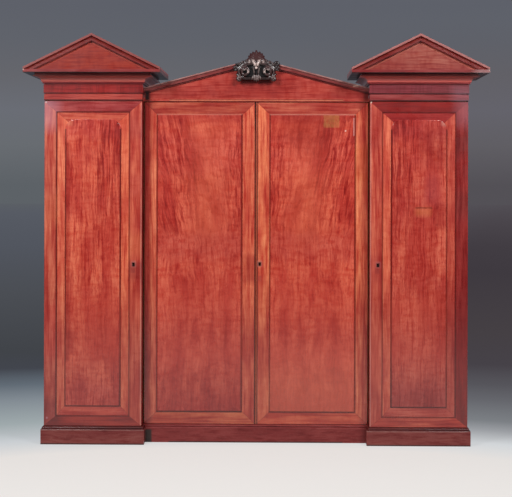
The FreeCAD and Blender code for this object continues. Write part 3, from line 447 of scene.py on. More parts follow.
# Figure layers, sizes in millimetres. Tints multiply the ground, so they only ever darken it.
slowTone = {"across": 95, "along": 420, "low": 0.4, "high": 0.62, "strength": 0.85, "tint": "#D894A0"}
straightStreaks = {
    "across": 10, "along": 260, "low": 0.48, "high": 0.7, "strength": 0.8, "tint": "#CA4A54", "detail": 3}
fineStreaks = {
    "across": 5, "along": 110, "low": 0.42, "high": 0.72, "strength": 0.52, "tint": "#DA3E1C", "detail": 2}
ripple = {
    "across": 62, "along": 24, "low": 0.42, "high": 0.72, "strength": 0.44, "tint": "#D84022", "detail": 1,
    "bend": 0.3}
plumDapple = {
    "across": 9, "along": 40, "low": 0.54, "high": 0.7, "strength": 0.5, "tint": "#C4587C", "detail": 1,
    "bend": 1.1}
plainFigure = [slowTone, straightStreaks, fineStreaks]
frameFigure = [
    dict(slowTone, across=60, along=300), dict(straightStreaks, across=12, low=0.43, high=0.68),
    dict(fineStreaks, strength=0.5), dict(ripple, strength=0.2)]


# A thin upright or level line: painted shade where shade falls in a corner, a step or a gap, over the dark
# polish gathered there; in a pale colour, a painted highlight
def paintedLine(upright, at, low, high, strength, half=0.002, soft=0.005, colour="#6E0A04"):
    middle, reach = (low + high) / 2, (high - low) / 2
    if upright:
        return spotAt(at, middle, half, reach, soft, strength, colour)
    return spotAt(middle, at, reach, half, soft, strength, colour)


# A level strip across one part of a moulding, between two heights
def strip(x, low, high, colour, strength=1.0, blend="MULTIPLY", soft=0.002):
    return spotAt(x, (low + high) / 2, 0.5, (high - low) / 2 - soft / 2, soft, strength, colour, blend)


# The same on a part that rakes down from a peak
def pitched(mark, peak, slope):
    return dict(mark, peak=peak, slope=slope, wide=1.0)


# Level bands across a whole door, darker, or brighter when mixed in
def levelBand(z, high, soft, colour, strength=1.0, blend="MULTIPLY"):
    return spotAt(0.0, z, 3.0, high, soft, strength, colour, blend)


# the foot of every door is darkened with painted shade, as less light reaches it there, with a brighter band
# over it
footPaintedShade = [levelBand(0.0, 0.62, 0.36, "#E2D8E0")]
panelBands = [
    levelBand(1.885, 0.010, 0.060, "#E6CCD6"), levelBand(1.67, 0.070, 0.090, "#F8EEFA"),
    levelBand(1.13, 0.045, 0.070, "#F0E6F2"), levelBand(0.67, 0.170, 0.150, "#F05A44", 0.14, "MIX"),
    levelBand(0.17, 0.045, 0.100, "#ECCEDA")]
fieldBands = [
    levelBand(1.86, 0.080, 0.060, "#EED8E8"), levelBand(1.36, 0.035, 0.060, "#F8EEF4"),
    levelBand(0.67, 0.140, 0.120, "#F0583E", 0.14, "MIX"), levelBand(0.20, 0.110, 0.090, "#F0DAE8")]


# Where keys have knocked about a keyhole: rubbed pale, stained below it, and dark at the hole
def lockSpots(x, stain):
    return [
        spotAt(x, 1.030, 0.006, 0.010, 0.014, 0.4, "#C88C82"),
        spotAt(x - 0.003, stain, 0.008, 0.012, 0.018, 0.75, "#8A2C2E", ragged=0.012),
        spotAt(x, 1.028, 0.0045, 0.0075, 0.008, 1.0, "#1C0806")]


lockMarks = {
    "left": lockSpots(-0.698, 0.996), "right": lockSpots(0.698, 0.996), "centre": lockSpots(0.022, 0.945)}
# small knocks, lighter and darker places, a pale patch, a scratch, painted highlights on the fields' rounded
# corners, and a painted sheen on the upper outer corners
chipsAndSheen = {
    "left_wing_door_frame": [
        spotAt(-1.200, 1.955, 0.002, 0.002, 0.005, 0.8, "#D8C0B8"),
        spotAt(-1.192, 0.149, 0.002, 0.003, 0.005, 0.8, "#E0B0A8"),
        # painted sheen on the upper outer corner
        spotAt(-1.195, 1.90, 0.012, 0.05, 0.09, 0.3, "#C8A0B0"),
        spotAt(-1.17, 0.18, 0.03, 0.05, 0.06, 0.9, "#CA9EB8", "MULTIPLY"),
        spotAt(-1.17, 0.64, 0.03, 0.12, 0.08, 0.9, "#FFD4DC", "MULTIPLY"),
        spotAt(-1.17, 1.35, 0.03, 0.05, 0.08, 0.8, "#8A4A30", "SCREEN"),
        spotAt(-0.69, 1.84, 0.03, 0.06, 0.06, 0.9, "#E6D0E0", "MULTIPLY"),
        spotAt(-0.69, 1.48, 0.03, 0.04, 0.06, 0.9, "#ECD4E2", "MULTIPLY"),
        spotAt(-0.69, 1.14, 0.03, 0.04, 0.06, 0.8, "#824428", "SCREEN"),
        spotAt(-0.69, 0.99, 0.03, 0.03, 0.04, 0.9, "#DCCCD8", "MULTIPLY"),
        spotAt(-0.69, 0.79, 0.03, 0.04, 0.08, 0.8, "#7C3424", "SCREEN")],
    "right_wing_door_frame": [
        spotAt(0.656, 1.957, 0.002, 0.002, 0.005, 0.8, "#E0C8B8"),
        # painted sheen on the upper outer corner
        spotAt(1.195, 1.91, 0.012, 0.045, 0.08, 0.15, "#C8A0B0"),
        spotAt(0.69, 1.80, 0.03, 0.09, 0.06, 0.9, "#ECDAE2", "MULTIPLY"),
        spotAt(0.69, 1.01, 0.03, 0.05, 0.06, 0.9, "#E6CEDA", "MULTIPLY"),
        spotAt(0.69, 0.52, 0.03, 0.12, 0.12, 0.8, "#7A3424", "SCREEN"),
        spotAt(1.18, 1.72, 0.03, 0.03, 0.06, 0.9, "#DCE8EC", "MULTIPLY"),
        spotAt(1.18, 1.38, 0.03, 0.04, 0.06, 0.9, "#E2F8FA", "MULTIPLY"),
        spotAt(1.18, 0.36, 0.03, 0.20, 0.12, 0.9, "#FFC2B8", "MULTIPLY")],
    "left_wing_door_field": [
        spotAt(-1.055, 0.582, 0.006, 0.05, 0.03, 0.9, "#D8A8B0", "MULTIPLY"),
        spotAt(-1.078, 1.10, 0.008, 0.62, 0.012, 0.9, "#D8B4B4", "MULTIPLY"),
        # painted highlight on the field's rounded corner
        spotAt(-1.066, 1.838, 0.004, 0.004, 0.022, 0.4, "#E08A68")],
    "right_wing_door_field": [
        spotAt(1.055, 1.307, 0.012, 0.05, 0.04, 0.9, "#D4A0A4", "MULTIPLY"),
        spotAt(0.975, 1.723, 0.015, 0.04, 0.04, 0.9, "#D89AA4", "MULTIPLY"),
        # painted highlight on the field's rounded corner
        spotAt(1.072, 1.838, 0.003, 0.003, 0.020, 0.6, "#D89888"),
        spotAt(1.005, 1.46, 0.015, 0.05, 0.06, 0.35, "#A84848"),
        spotAt(0.955, 1.332, 0.03, 0.008, 0.03, 0.28, "#DC8450"),
        spotAt(0.958, 1.356, 0.046, 0.003, 0.006, 1.0, "#6A2418", ragged=0.02),
        spotAt(1.04, 1.72, 0.02, 0.06, 0.12, 0.5, "#C8A0A8", "MULTIPLY"),
        spotAt(0.93, 0.24, 0.12, 0.04, 0.14, 0.45, "#C0A0B4", "MULTIPLY")],
    "left_centre_door_frame": [
        spotAt(-0.029, 1, 0.02, 0.06, 0.04, 0.9, "#CC9CA4", "MULTIPLY")],
    "right_centre_door_frame": [
        spotAt(0.611, 1.58, 0.015, 0.10, 0.08, 0.7, "#6A3A10", "SCREEN")],
    "right_centre_door_panel": [
        spotAt(0.32, 1.82, 0.05, 0.02, 0.18, 0.85, "#CE9AA4", "MULTIPLY"),
        spotAt(0.32, 0.22, 0.20, 0.10, 0.30, 0.28, "#EE7656"),
        spotAt(0.434, 1.851, 0.044, 0.034, 0.006, 0.6, "#BE8A4C", ragged=0.010),
        spotAt(0.430, 1.858, 0.012, 0.008, 0.010, 0.5, "#9A5834", ragged=0.008),
        spotAt(0.515, 1.797, 0.002, 0.002, 0.004, 0.8, "#F0D0C0"),
        spotAt(0.5625, 1.82, 0.001, 0.05, 0.004, 0.5, "#D8A8A0")],
}

# Each visible wood node: its ground, how the grain runs, its figure and its marks. Members are the
# widths of a frame's stiles, foot rail and head rail. A cut shifts the piece to another part of the log.
looks = {}
wing = {
    "outer": 1.209, "inner": 0.652, "front": -0.245,     # its two sides and its front
    "middle": 0.93, "peak": 0.9305, "slope": 0.4916,     # its pediment
}
moulded = {
    "grain": "around", "outer": wing["outer"], "inner": wing["inner"], "front": wing["front"],
    "rough": (0.28, 0.42), "polish": 0.45, "figure": plainFigure}

# Grounds are for the left and the right door. Tints are for the left, right, top and foot member of a
# mitred frame.
wingDoor = {
    # where the sunk band starts: its outer and inner side, its foot and its head
    "outer": 1.1400, "inner": 0.7225, "foot": 0.161, "head": 1.900,
    # the raised field: its outer and inner edge, its foot, and where its rounded corners start
    "fieldOuter": 1.0895, "fieldInner": 0.7735, "fieldFoot": 0.2165, "fieldShoulder": 1.80,
    "arris": 0.6555, "middleHeight": 1.03,               # the door's edge by the centre, half way up
    "seam": {"left": -0.907, "right": 0.905},            # a joint in the field's veneer
    "frame": {"left": "#DF7C5E", "right": "#E27055"},
    "frameTints": {
        "left": ("#FFFFFF", "#FFECE7", "#D2B0DB", "#CF7B79"),
        "right": ("#F7FEFF", "#B77E93", "#A94D4E", "#FFFFF9")},
    "band": {"left": "#F48C66", "right": "#EB7E5D"},
    "bandTints": {
        "left": ("#FFFFFF", "#F8E9E4", "#DBBBC4", "#EABECB"),
        "right": ("#FFFFFF", "#DFC2CE", "#B5637A", "#EAD5E7")},
    "field": {"left": "#EC7A5B", "right": "#E17158"},
}


def wingDoorLooks(side, hand):
    door, foot, head = side + "_wing_door_", wingDoor["foot"], wingDoor["head"]
    outer, inner = hand * wingDoor["outer"], hand * wingDoor["inner"]
    across = sorted((outer, inner))
    # painted shade along the step from the frame down to the sunk band, all round the opening
    opening = [paintedLine(True, outer, foot, head, 0.95), paintedLine(True, inner, foot, head, 0.7),
               paintedLine(False, head, *across, 0.9), paintedLine(False, foot, *across, 0.8)]
    # the edge by the centre is rubbed pale
    arris = spotAt(hand * wingDoor["arris"], wingDoor["middleHeight"], 0.0008, 0.92, 0.0032, 0.4, "#C89C94")
    looks[door + "frame"] = {
        "grain": "mitred", "members": (0.070, 0.056, 0.061), "cut": (hand * 2.3, 0, 1.7),
        "ground": wingDoor["frame"][side], "tints": wingDoor["frameTints"][side], "wander": 0.015,
        "rough": (0.26, 0.4), "polish": 1.0, "figure": frameFigure,
        "marks": opening + footPaintedShade + [arris] + lockMarks[side] + chipsAndSheen[door + "frame"]}
    bandSlow = dict(slowTone, strength=0.7, across=50, along=260)
    looks[door + "band"] = {
        "grain": "mitred", "members": (0.048, 0.055, 0.042), "cut": (hand * 1.1, 0, 0.4),
        "ground": wingDoor["band"][side], "tints": wingDoor["bandTints"][side], "wander": 0.015,
        "rough": (0.24, 0.36), "polish": 1.0, "marks": opening + footPaintedShade,
        "figure": [bandSlow, dict(straightStreaks, strength=0.7), fineStreaks, dict(ripple, strength=0.25)]}
    # the inner half of the field's head has strong dark streaks, up to the joint in the veneer
    low, high = sorted((wingDoor["seam"][side], hand * 0.765))
    topStreaks = dict(
        straightStreaks, low=0.45, high=0.6, across=12, along=240, tint="#B84450", bend=0.3, within=[
            spotAt((low + high) / 2, 1.5, (high - low) / 2 - 0.002, 2.0, 0.004),
            spotAt(hand * wing["middle"], 1.75, 0.3, 0.2, 0.45)])
    shoulder = wingDoor["fieldShoulder"]
    # painted shade along the raised field's sides and foot
    edges = [
        paintedLine(True, hand * wingDoor["fieldInner"], 0.216, shoulder, 0.95, 0.003),
        paintedLine(True, hand * wingDoor["fieldOuter"], 0.216, shoulder, 0.8, 0.003),
        paintedLine(False, wingDoor["fieldFoot"], *sorted((hand * 0.77, hand * 1.09)), 0.95, 0.003)]
    looks[door + "field"] = {
        "grain": "upright", "cut": (hand * 3.1, 0, 0.2), "ground": wingDoor["field"][side],
        "rough": (0.22, 0.34), "polish": 1.0,
        "marks": edges + footPaintedShade + fieldBands + chipsAndSheen[door + "field"],
        "figure": plainFigure + [ripple, plumDapple, topStreaks]}


# the frame is widest at the meeting edge, and the panel stands a little proud
centreDoor = {
    # the panel: its outer edge, its inner edge, its foot and its head
    "outer": 0.5715, "inner": {"left": -0.083, "right": 0.080}, "foot": 0.175, "head": 1.889,
    # the light that the panel's upper edge catches: how strong, and how high up
    "headLine": {"left": 0.25, "right": 0.4}, "headLineAt": 1.8895,
    # the wing's shade painted on the door beside it, darkest in the corner
    "wingShade": 0.6335, "wingShadeTone": {"left": "#C95C78", "right": "#FFD5E3"},
    "corner": 0.6415, "wingShadeCornerShare": {"left": 0.5, "right": 0.25},
    "middleHeight": 1.03,
    # the meeting line's gap, painted dark as its shade, its darker uppermost part, and the heights between
    # which each runs
    "seam": {"left": -0.0065, "right": 0.0082}, "meeting": {"left": -0.0055, "right": 0.0005},
    "seamReach": (0.106, 1.96), "meetingReach": (1.80, 1.96),
    "frame": {"left": "#EC8A64", "right": "#F39266"},
    "frameTints": {
        "left": ("#FFFFFF", "#FDECEC", "#D3B7BF", "#FFFFE9"),
        "right": ("#FFF7F6", "#FFFFFF", "#D2B4C8", "#EFC2C0")},
    "panel": {"left": "#E26D53", "right": "#E66F53"},
}


def centreDoorLooks(side, hand):
    door, foot, head = side + "_centre_door_", centreDoor["foot"], centreDoor["head"]
    near, far = sorted((hand * centreDoor["outer"], centreDoor["inner"][side]))
    # painted shade round the panel's sides and foot, and a painted highlight on its upper edge
    rims = [paintedLine(True, near, foot, head, 0.75), paintedLine(True, far, foot, head, 0.8, 0.003),
            paintedLine(False, foot, near, far, 0.9, 0.003),
            paintedLine(False, centreDoor["headLineAt"], near, far, centreDoor["headLine"][side],
                     0.0015, 0.004, "#D09A86")]
    middle = centreDoor["middleHeight"]
    # painted shade of the wing on the door's outer edge, darkest in the corner
    wingShade = spotAt(hand * centreDoor["wingShade"], middle, 0.0125, 1.0, 0.022, 0.8,
                    centreDoor["wingShadeTone"][side], "MULTIPLY")
    corner = spotAt(hand * centreDoor["corner"], middle, 0.003, 1.0, 0.006,
                    centreDoor["wingShadeCornerShare"][side], "#A85868", "MULTIPLY")
    # painted shade in the gap where the doors meet
    seam = paintedLine(True, centreDoor["seam"][side], *centreDoor["seamReach"], 0.8, 0.0018, 0.003, "#4A1614")
    meeting = paintedLine(True, centreDoor["meeting"][side], *centreDoor["meetingReach"],
                       0.9, 0.0015, 0.002, "#1E0A08")
    looks[door + "frame"] = {
        "grain": "mitred", "members": (0.074, 0.070, 0.071), "cut": (hand * 1.9, 0, 2.9),
        "ground": centreDoor["frame"][side], "tints": centreDoor["frameTints"][side], "wander": 0.015,
        "rough": (0.24, 0.38), "polish": 1.0, "figure": frameFigure,
        "marks": (rims + [wingShade, corner, seam, meeting] + footPaintedShade + lockMarks["centre"]
                  + chipsAndSheen[door + "frame"])}
    # dark streaks near the outer edge and the meeting stile of each panel, a paler oval between them
    outerStreaks = dict(
        straightStreaks, strength=0.9, low=0.46, high=0.64, across=12, along=170, tint="#BC4854", bend=0.5,
        within=[spotAt(hand * 0.48, 1.55, 0.05, 0.25, 0.14)])
    innerStreaks = dict(outerStreaks, strength=0.75, within=[spotAt(hand * 0.12, 1.5, 0.02, 0.25, 0.1)])
    oval = spotAt(hand * 0.29, 1.5, 0.01, 0.28, 0.15, 0.22, "#DE7450")
    looks[door + "panel"] = {
        "grain": "upright", "lean": 0.3, "leanFrom": 1.15, "wander": 0.05,
        "ground": centreDoor["panel"][side], "rough": (0.22, 0.34), "polish": 1.0,
        "marks": [oval] + rims + footPaintedShade + panelBands + chipsAndSheen.get(door + "panel", []),
        "figure": [slowTone, dict(straightStreaks, across=13, along=200, strength=0.6), fineStreaks, ripple,
                   dict(plumDapple, strength=0.45), outerStreaks, innerStreaks]}


wingTop = {
    "entablature": {"left": "#B54C40", "right": "#9E4947"},
    "friezeTone": {"left": "#DC8791", "right": "#D5BFDE"},
    "crossband": {"left": 0.6, "right": 0.4},
    "cavettoLitTone": {"left": "#EE766A", "right": "#FF7A70"},
    # the right tympanum's ground is greyer, holding a painted sheen
    "tympanum": {"left": "#99311F", "right": "#A65C4D"},
    "underRakeLitTone": {"left": "#E05C48", "right": "#EC7E66"},
    "rakeEdgeTone": {"left": "#8C5450", "right": "#B4807C"},
    # the lowest and highest edge of each level part that has a tone of its own
    "architraveFoot": (1.963, 1.9715), "quirk": (2.004, 2.0105), "frieze": (2.005, 2.056),
    "neck": (2.058, 2.0680), "cavetto": (2.0700, 2.1050), "coronaShadow": (2.116, 2.1225),
    "corona": (2.118, 2.140),
    # and of each raking part, below the peak
    "underRake": (2.284, 2.304), "rakeBed": (2.299, 2.314), "rakeCove": (2.306, 2.321),
    "rakeEdge": (2.328, 2.342),
}


def wingTopLooks(side, hand):
    middle = hand * wing["middle"]
    peak = (hand * wing["peak"], wing["slope"])
    # the frieze is crossbanded and darker than the architrave, and painted shade lies in the quirk and at the
    # foot
    crossband = {
        "across": 160, "along": 9, "low": 0.46, "high": 0.66, "strength": wingTop["crossband"][side],
        "tint": "#BC7080", "detail": 2, "within": [strip(middle, *wingTop["frieze"], None)]}
    looks[side + "_entablature"] = dict(
        moulded, cut=(0, 0, hand * 1.4), ground=wingTop["entablature"][side],
        figure=plainFigure + [crossband], marks=[
            strip(middle, *wingTop["frieze"], wingTop["friezeTone"][side]),
            strip(middle, *wingTop["quirk"], "#A07878", 0.9),
            strip(middle, *wingTop["architraveFoot"], "#7A5050", 0.9),
            # a painted sheen on the right wing's end
            spotAt(1.18, 1.985, 0.03, 0.03, 0.06, 0.14, "#C0A4B4")])
    # a painted shadow lies under the corona and painted shade on the neck, the cavetto between them has
    # painted light as from the floor below, and the corona is darker
    looks[side + "_cornice"] = dict(
        moulded, cut=(0, 0, hand * 2.4), ground="#D85C57", marks=[
            strip(middle, *wingTop["corona"], "#ABA0A6"), strip(middle, *wingTop["neck"], "#AF899B"),
            strip(middle, *wingTop["cavetto"], wingTop["cavettoLitTone"][side], 0.85, "MIX", 0.003),
            strip(middle, *wingTop["coronaShadow"], "#5A3C3C", 0.9, soft=0.0015),
            spotAt(hand * 1.317, 2.137, 0.002, 0.002, 0.006, 0.7, "#DCC4B4"),
            # a painted sheen on the right wing's end
            spotAt(1.29, 2.128, 0.03, 0.02, 0.05, 0.3, "#C8A8A8")])
    # painted light on the tympanum just under the raking moulding, lifting the moulding's shadow
    under = strip(middle, *wingTop["underRake"], wingTop["underRakeLitTone"][side], 0.4, "MIX", 0.008)
    looks[side + "_tympanum"] = {
        "grain": "level", "cut": (0, 0, hand * 3.3), "ground": wingTop["tympanum"][side],
        "rough": (0.28, 0.4), "polish": 0.45, "figure": plainFigure + [ripple],
        "marks": [pitched(under, *peak)]}
    # the raking mouldings' bed is darkened with painted shade; their edge and cove have tones of their own
    looks[side + "_rake_mouldings"] = dict(
        moulded, cut=(0, 0, hand * 4.1), ground="#98423C", marks=[
            pitched(strip(middle, *wingTop["rakeEdge"], wingTop["rakeEdgeTone"][side], 0.5, "MIX"), *peak),
            pitched(strip(middle, *wingTop["rakeCove"], "#C85E50", 0.12, "MIX"), *peak),
            pitched(strip(middle, *wingTop["rakeBed"], "#D8B4B4"), *peak)])


# plinths are scuffed and dusty; painted shade lies along the floor and on the moulding under the doors, and a
# ragged pale line on their upper edge is worn and painted as the highlight it catches
plinth = {"floorShade": (0.0, 0.007), "edge": (0.0790, 0.0835), "moulding": (0.083, 0.106)}
dust = {
    "across": 7, "along": 7, "low": 0.5, "high": 0.7, "strength": 0.5, "tint": "#3A302C", "blend": "SCREEN"}


def plinthLooks(side, hand):
    middle = hand * wing["middle"]
    looks[side + "_plinth"] = dict(
        moulded, cut=(0, 0, hand * 5.1), ground="#8F4943", rough=(0.36, 0.55), polish=0.25,
        figure=[slowTone, dict(straightStreaks, across=14, along=90), fineStreaks, dust], marks=[
            strip(middle, *plinth["floorShade"], "#1E1410", 0.8, "MIX"),
            strip(middle, *plinth["moulding"], "#B07878"),
            dict(strip(middle, *plinth["edge"], "#E8C0B4", 0.4, "MIX"), ragged=0.03)])


def sideLooks(side, hand):
    looks[side + "_outer_side"] = {
        "grain": "upright", "cut": (0, hand * 0.7, 0), "ground": "#C05040",
        "rough": (0.28, 0.42), "polish": 0.4, "figure": plainFigure + [ripple]}
    looks[side + "_inner_side"] = dict(looks[side + "_outer_side"], ground="#C23A3C")


for side, hand in (("left", -1), ("right", 1)):
    wingDoorLooks(side, hand)
    centreDoorLooks(side, hand)
    wingTopLooks(side, hand)
    plinthLooks(side, hand)
    sideLooks(side, hand)

# the centre plinth: painted shade along the floor, and a painted shadow beside the left wing's plinth
looks["centre_plinth"] = dict(looks["left_plinth"], grain="level", ground="#8D3735", marks=[
    strip(0.0, *plinth["floorShade"], "#1E1410", 0.8, "MIX"),
    spotAt(-0.618, 0.035, 0.014, 0.034, 0.010, 0.95, "#2A2420")])
# painted black shadow in the nooks between the wings and the centre's head
nookShadows = [spotAt(-0.630, 1.998, 0.006, 0.020, 0.016, 1.0, "#241210"),
         spotAt(0.634, 1.998, 0.006, 0.020, 0.016, 0.6, "#241210")]
centrePeak = {"peak": 0.0, "slope": 0.2637}
# the bead under the cornice board and its dark quirk, the raking mouldings' bed, darkened with painted shade,
# and their edge
centreHead = {
    "bead": (1.9700, 1.9735), "quirk": (1.9755, 1.9785),
    "rakeBed": (2.148, 2.167), "rakeEdge": (2.207, 2.216)}
headBoard = looks["left_tympanum"]
looks["centre_cornice_board"] = dict(headBoard, ground="#BE5444", cut=(0, 0, 0.6), marks=nookShadows + [
    strip(0.0, *centreHead["quirk"], "#5A2018", 0.7, "MIX", 0.003),
    strip(0.0, *centreHead["bead"], "#D8A878", 0.35, "MIX", 0.003)])
looks["centre_pediment"] = dict(headBoard, ground="#B84B3E", cut=(0, 0, 1.6), marks=nookShadows + [
    spotAt(0.0, 2.04, 0.08, 0.02, 0.22, 0.7, "#D8A4AC", "MULTIPLY")])
looks["centre_rake_mouldings"] = dict(headBoard, ground="#8A4440", cut=(0, 0, 2.6), marks=nookShadows + [
    pitched(strip(0.0, *centreHead["rakeBed"], "#C4A4A4"), **centrePeak),
    dict(pitched(strip(0.0, *centreHead["rakeEdge"], "#D8BCB4", 0.5, "MIX"), **centrePeak), ragged=0.03),
    spotAt(0.572, 2.055, 0.012, 0.002, 0.006, 0.7, "#D0A898")])
looks["right_centre_door_bead"] = dict(
    looks["right_wing_door_field"], ground="#A85038", figure=[fineStreaks], marks=[])

brassNodes = [
    "hanging_rails", "rail_sockets", "pivot_plates", "left_wing_door_bolt", "right_wing_door_bolt",
    "right_centre_door_bolt", "left_centre_door_top_bolt", "left_centre_door_bottom_bolt"]
blackenedNodes = [
    "left_wing_door_fittings", "right_wing_door_fittings", "left_centre_door_fittings",
    "right_centre_door_fittings"]
pineUpright = ["centre_sides", "case_backs"]
pineLevel = [
    "case_floors", "case_tops", "hat_shelves", "drawer_dividers", "tray_runners", "long_drawer_1",
    "long_drawer_2", "long_drawer_3", "left_short_drawer", "right_short_drawer", "linen_tray_1",
    "linen_tray_2", "linen_tray_3", "linen_tray_4"]


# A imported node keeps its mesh, and every slot of it gets the material
def dressNode(node, material):
    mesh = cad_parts[node].data
    if not mesh.materials:
        mesh.materials.append(None)
    for i in range(len(mesh.materials)):
        mesh.materials[i] = material


for node, look in looks.items():
    dressNode(node, mahogany("polished_mahogany_" + node, dict(look, node=node)))
print("mahogany on", len(looks), "nodes")
brass = agedBrass("aged_brass", [(0.35, "#6B4F2A"), (0.5, "#A17F45"), (0.66, "#C2A062")])
for node in brassNodes:
    dressNode(node, brass)
# the keyholes' plates and the locks behind them have gone nearly black
blackened = agedBrass("blackened_brass", [(0.35, "#0C0705"), (0.5, "#1A110B"), (0.66, "#2E2217")])
for node in blackenedNodes:
    dressNode(node, blackened)
# every board is cut from another part of the tree
for number, node in enumerate(pineUpright + pineLevel):
    look = {"grain": "upright" if node in pineUpright else "level", "cut": (number * 0.83, 0, number * 0.37)}
    dressNode(node, pineLining("waxed_pine_" + node, look))
print("brass on", len(brassNodes + blackenedNodes), "nodes, pine on", len(pineUpright + pineLevel))

# The carved crest: a ribbed shell over two scrolls, with leaves to the sides and a small palmette below.
# Its sweeps are rolled out on the right half and mirrored. Lengths in metres, turns in degrees.
crestCarving = {
    "back": -0.170, "grid": 0.0017,
    "ground": {"place": (0, -0.1745, 2.137), "radius": 0.092, "depth": 0.009, "squash": 0.42},
    "shellCore": {"place": (0, -0.176, 2.205), "radius": 0.043, "forward": 0.45},
    "bead": {"place": (0, -0.1985, 2.155), "radius": 0.0095},
    # depths between which the hollows' black gives way, and heights between which the shell starts
    "proud": (-0.179, -0.192), "shellFoot": (2.190, 2.212),
    "hollows": [(0.0, "#060303"), (0.3, "#1E1010"), (0.65, "#4C302E")], "shell": "#3C1819",
    "pale": "#DCC4BC",
    # how far the shell's tone covers its wood, the gloss of the scrolls and of the shell, and heights
    # between which the worn foot takes on its gloss
    "shellCover": 0.85, "gloss": (0.7, 0.05), "wornFoot": (2.100, 2.122),
    # painted highlights on the petals, the bead, the scrolls and the feet, on the right half
    "crestHighlights": [
        spotAt(0.0, 2.157, 0.003, 0.003, 0.007), spotAt(0.009, 2.176, 0.003, 0.006, 0.007, 0.9),
        spotAt(0.017, 2.192, 0.003, 0.006, 0.008, 0.6), spotAt(0.040, 2.191, 0.002, 0.003, 0.007, 0.5),
        spotAt(0.060, 2.142, 0.008, 0.002, 0.005, 0.7), spotAt(0.047, 2.133, 0.002, 0.002, 0.006, 0.7),
        spotAt(0.016, 2.140, 0.002, 0.012, 0.006, 0.25), spotAt(0.010, 2.100, 0.014, 0.010, 0.006, 0.1),
        spotAt(0.098, 2.103, 0.006, 0.003, 0.007, 0.15)],
}


# One sweep of the carver's gouge: a closed ring is drawn out and turned step by step
def carveSweep(start, heading, steps, turns, girths, flat=0.75, rise=0.0):
    bpy.ops.object.select_all(action="DESELECT")
    angle, tip = math.radians(heading), Vector(start)
    bpy.ops.mesh.primitive_circle_add(
        vertices=10, radius=girths[0], fill_type="NGON", location=tip, rotation=(0, math.pi / 2 - angle, 0))
    sweep = bpy.context.object
    bpy.ops.object.transform_apply(location=True, rotation=True, scale=True)
    bpy.ops.object.mode_set(mode="EDIT")
    bpy.ops.transform.resize(value=(1, flat, 1), center_override=tip)
    for step, turn, before, after in zip(steps, turns, girths, girths[1:]):
        move = Vector((math.cos(angle) * step, -rise, math.sin(angle) * step))
        bpy.ops.mesh.extrude_region_move(TRANSFORM_OT_translate={"value": move})
        tip = tip + move
        angle += math.radians(turn)
        bpy.ops.transform.rotate(value=math.radians(turn), orient_axis="Y", center_override=tip)
        bpy.ops.transform.resize(value=(after / before,) * 3, center_override=tip)
    bpy.ops.mesh.select_all(action="SELECT")
    bpy.ops.mesh.normals_make_consistent(inside=False)
    bpy.ops.object.mode_set(mode="OBJECT")
    return sweep


ribGirths = [0.004, 0.0062, 0.0078, 0.0086, 0.0050]         # a rib of the shell, from its foot to its tip
frondGirths = [0.0034, 0.0043, 0.0048, 0.0046, 0.0030]      # a frond of the palmette


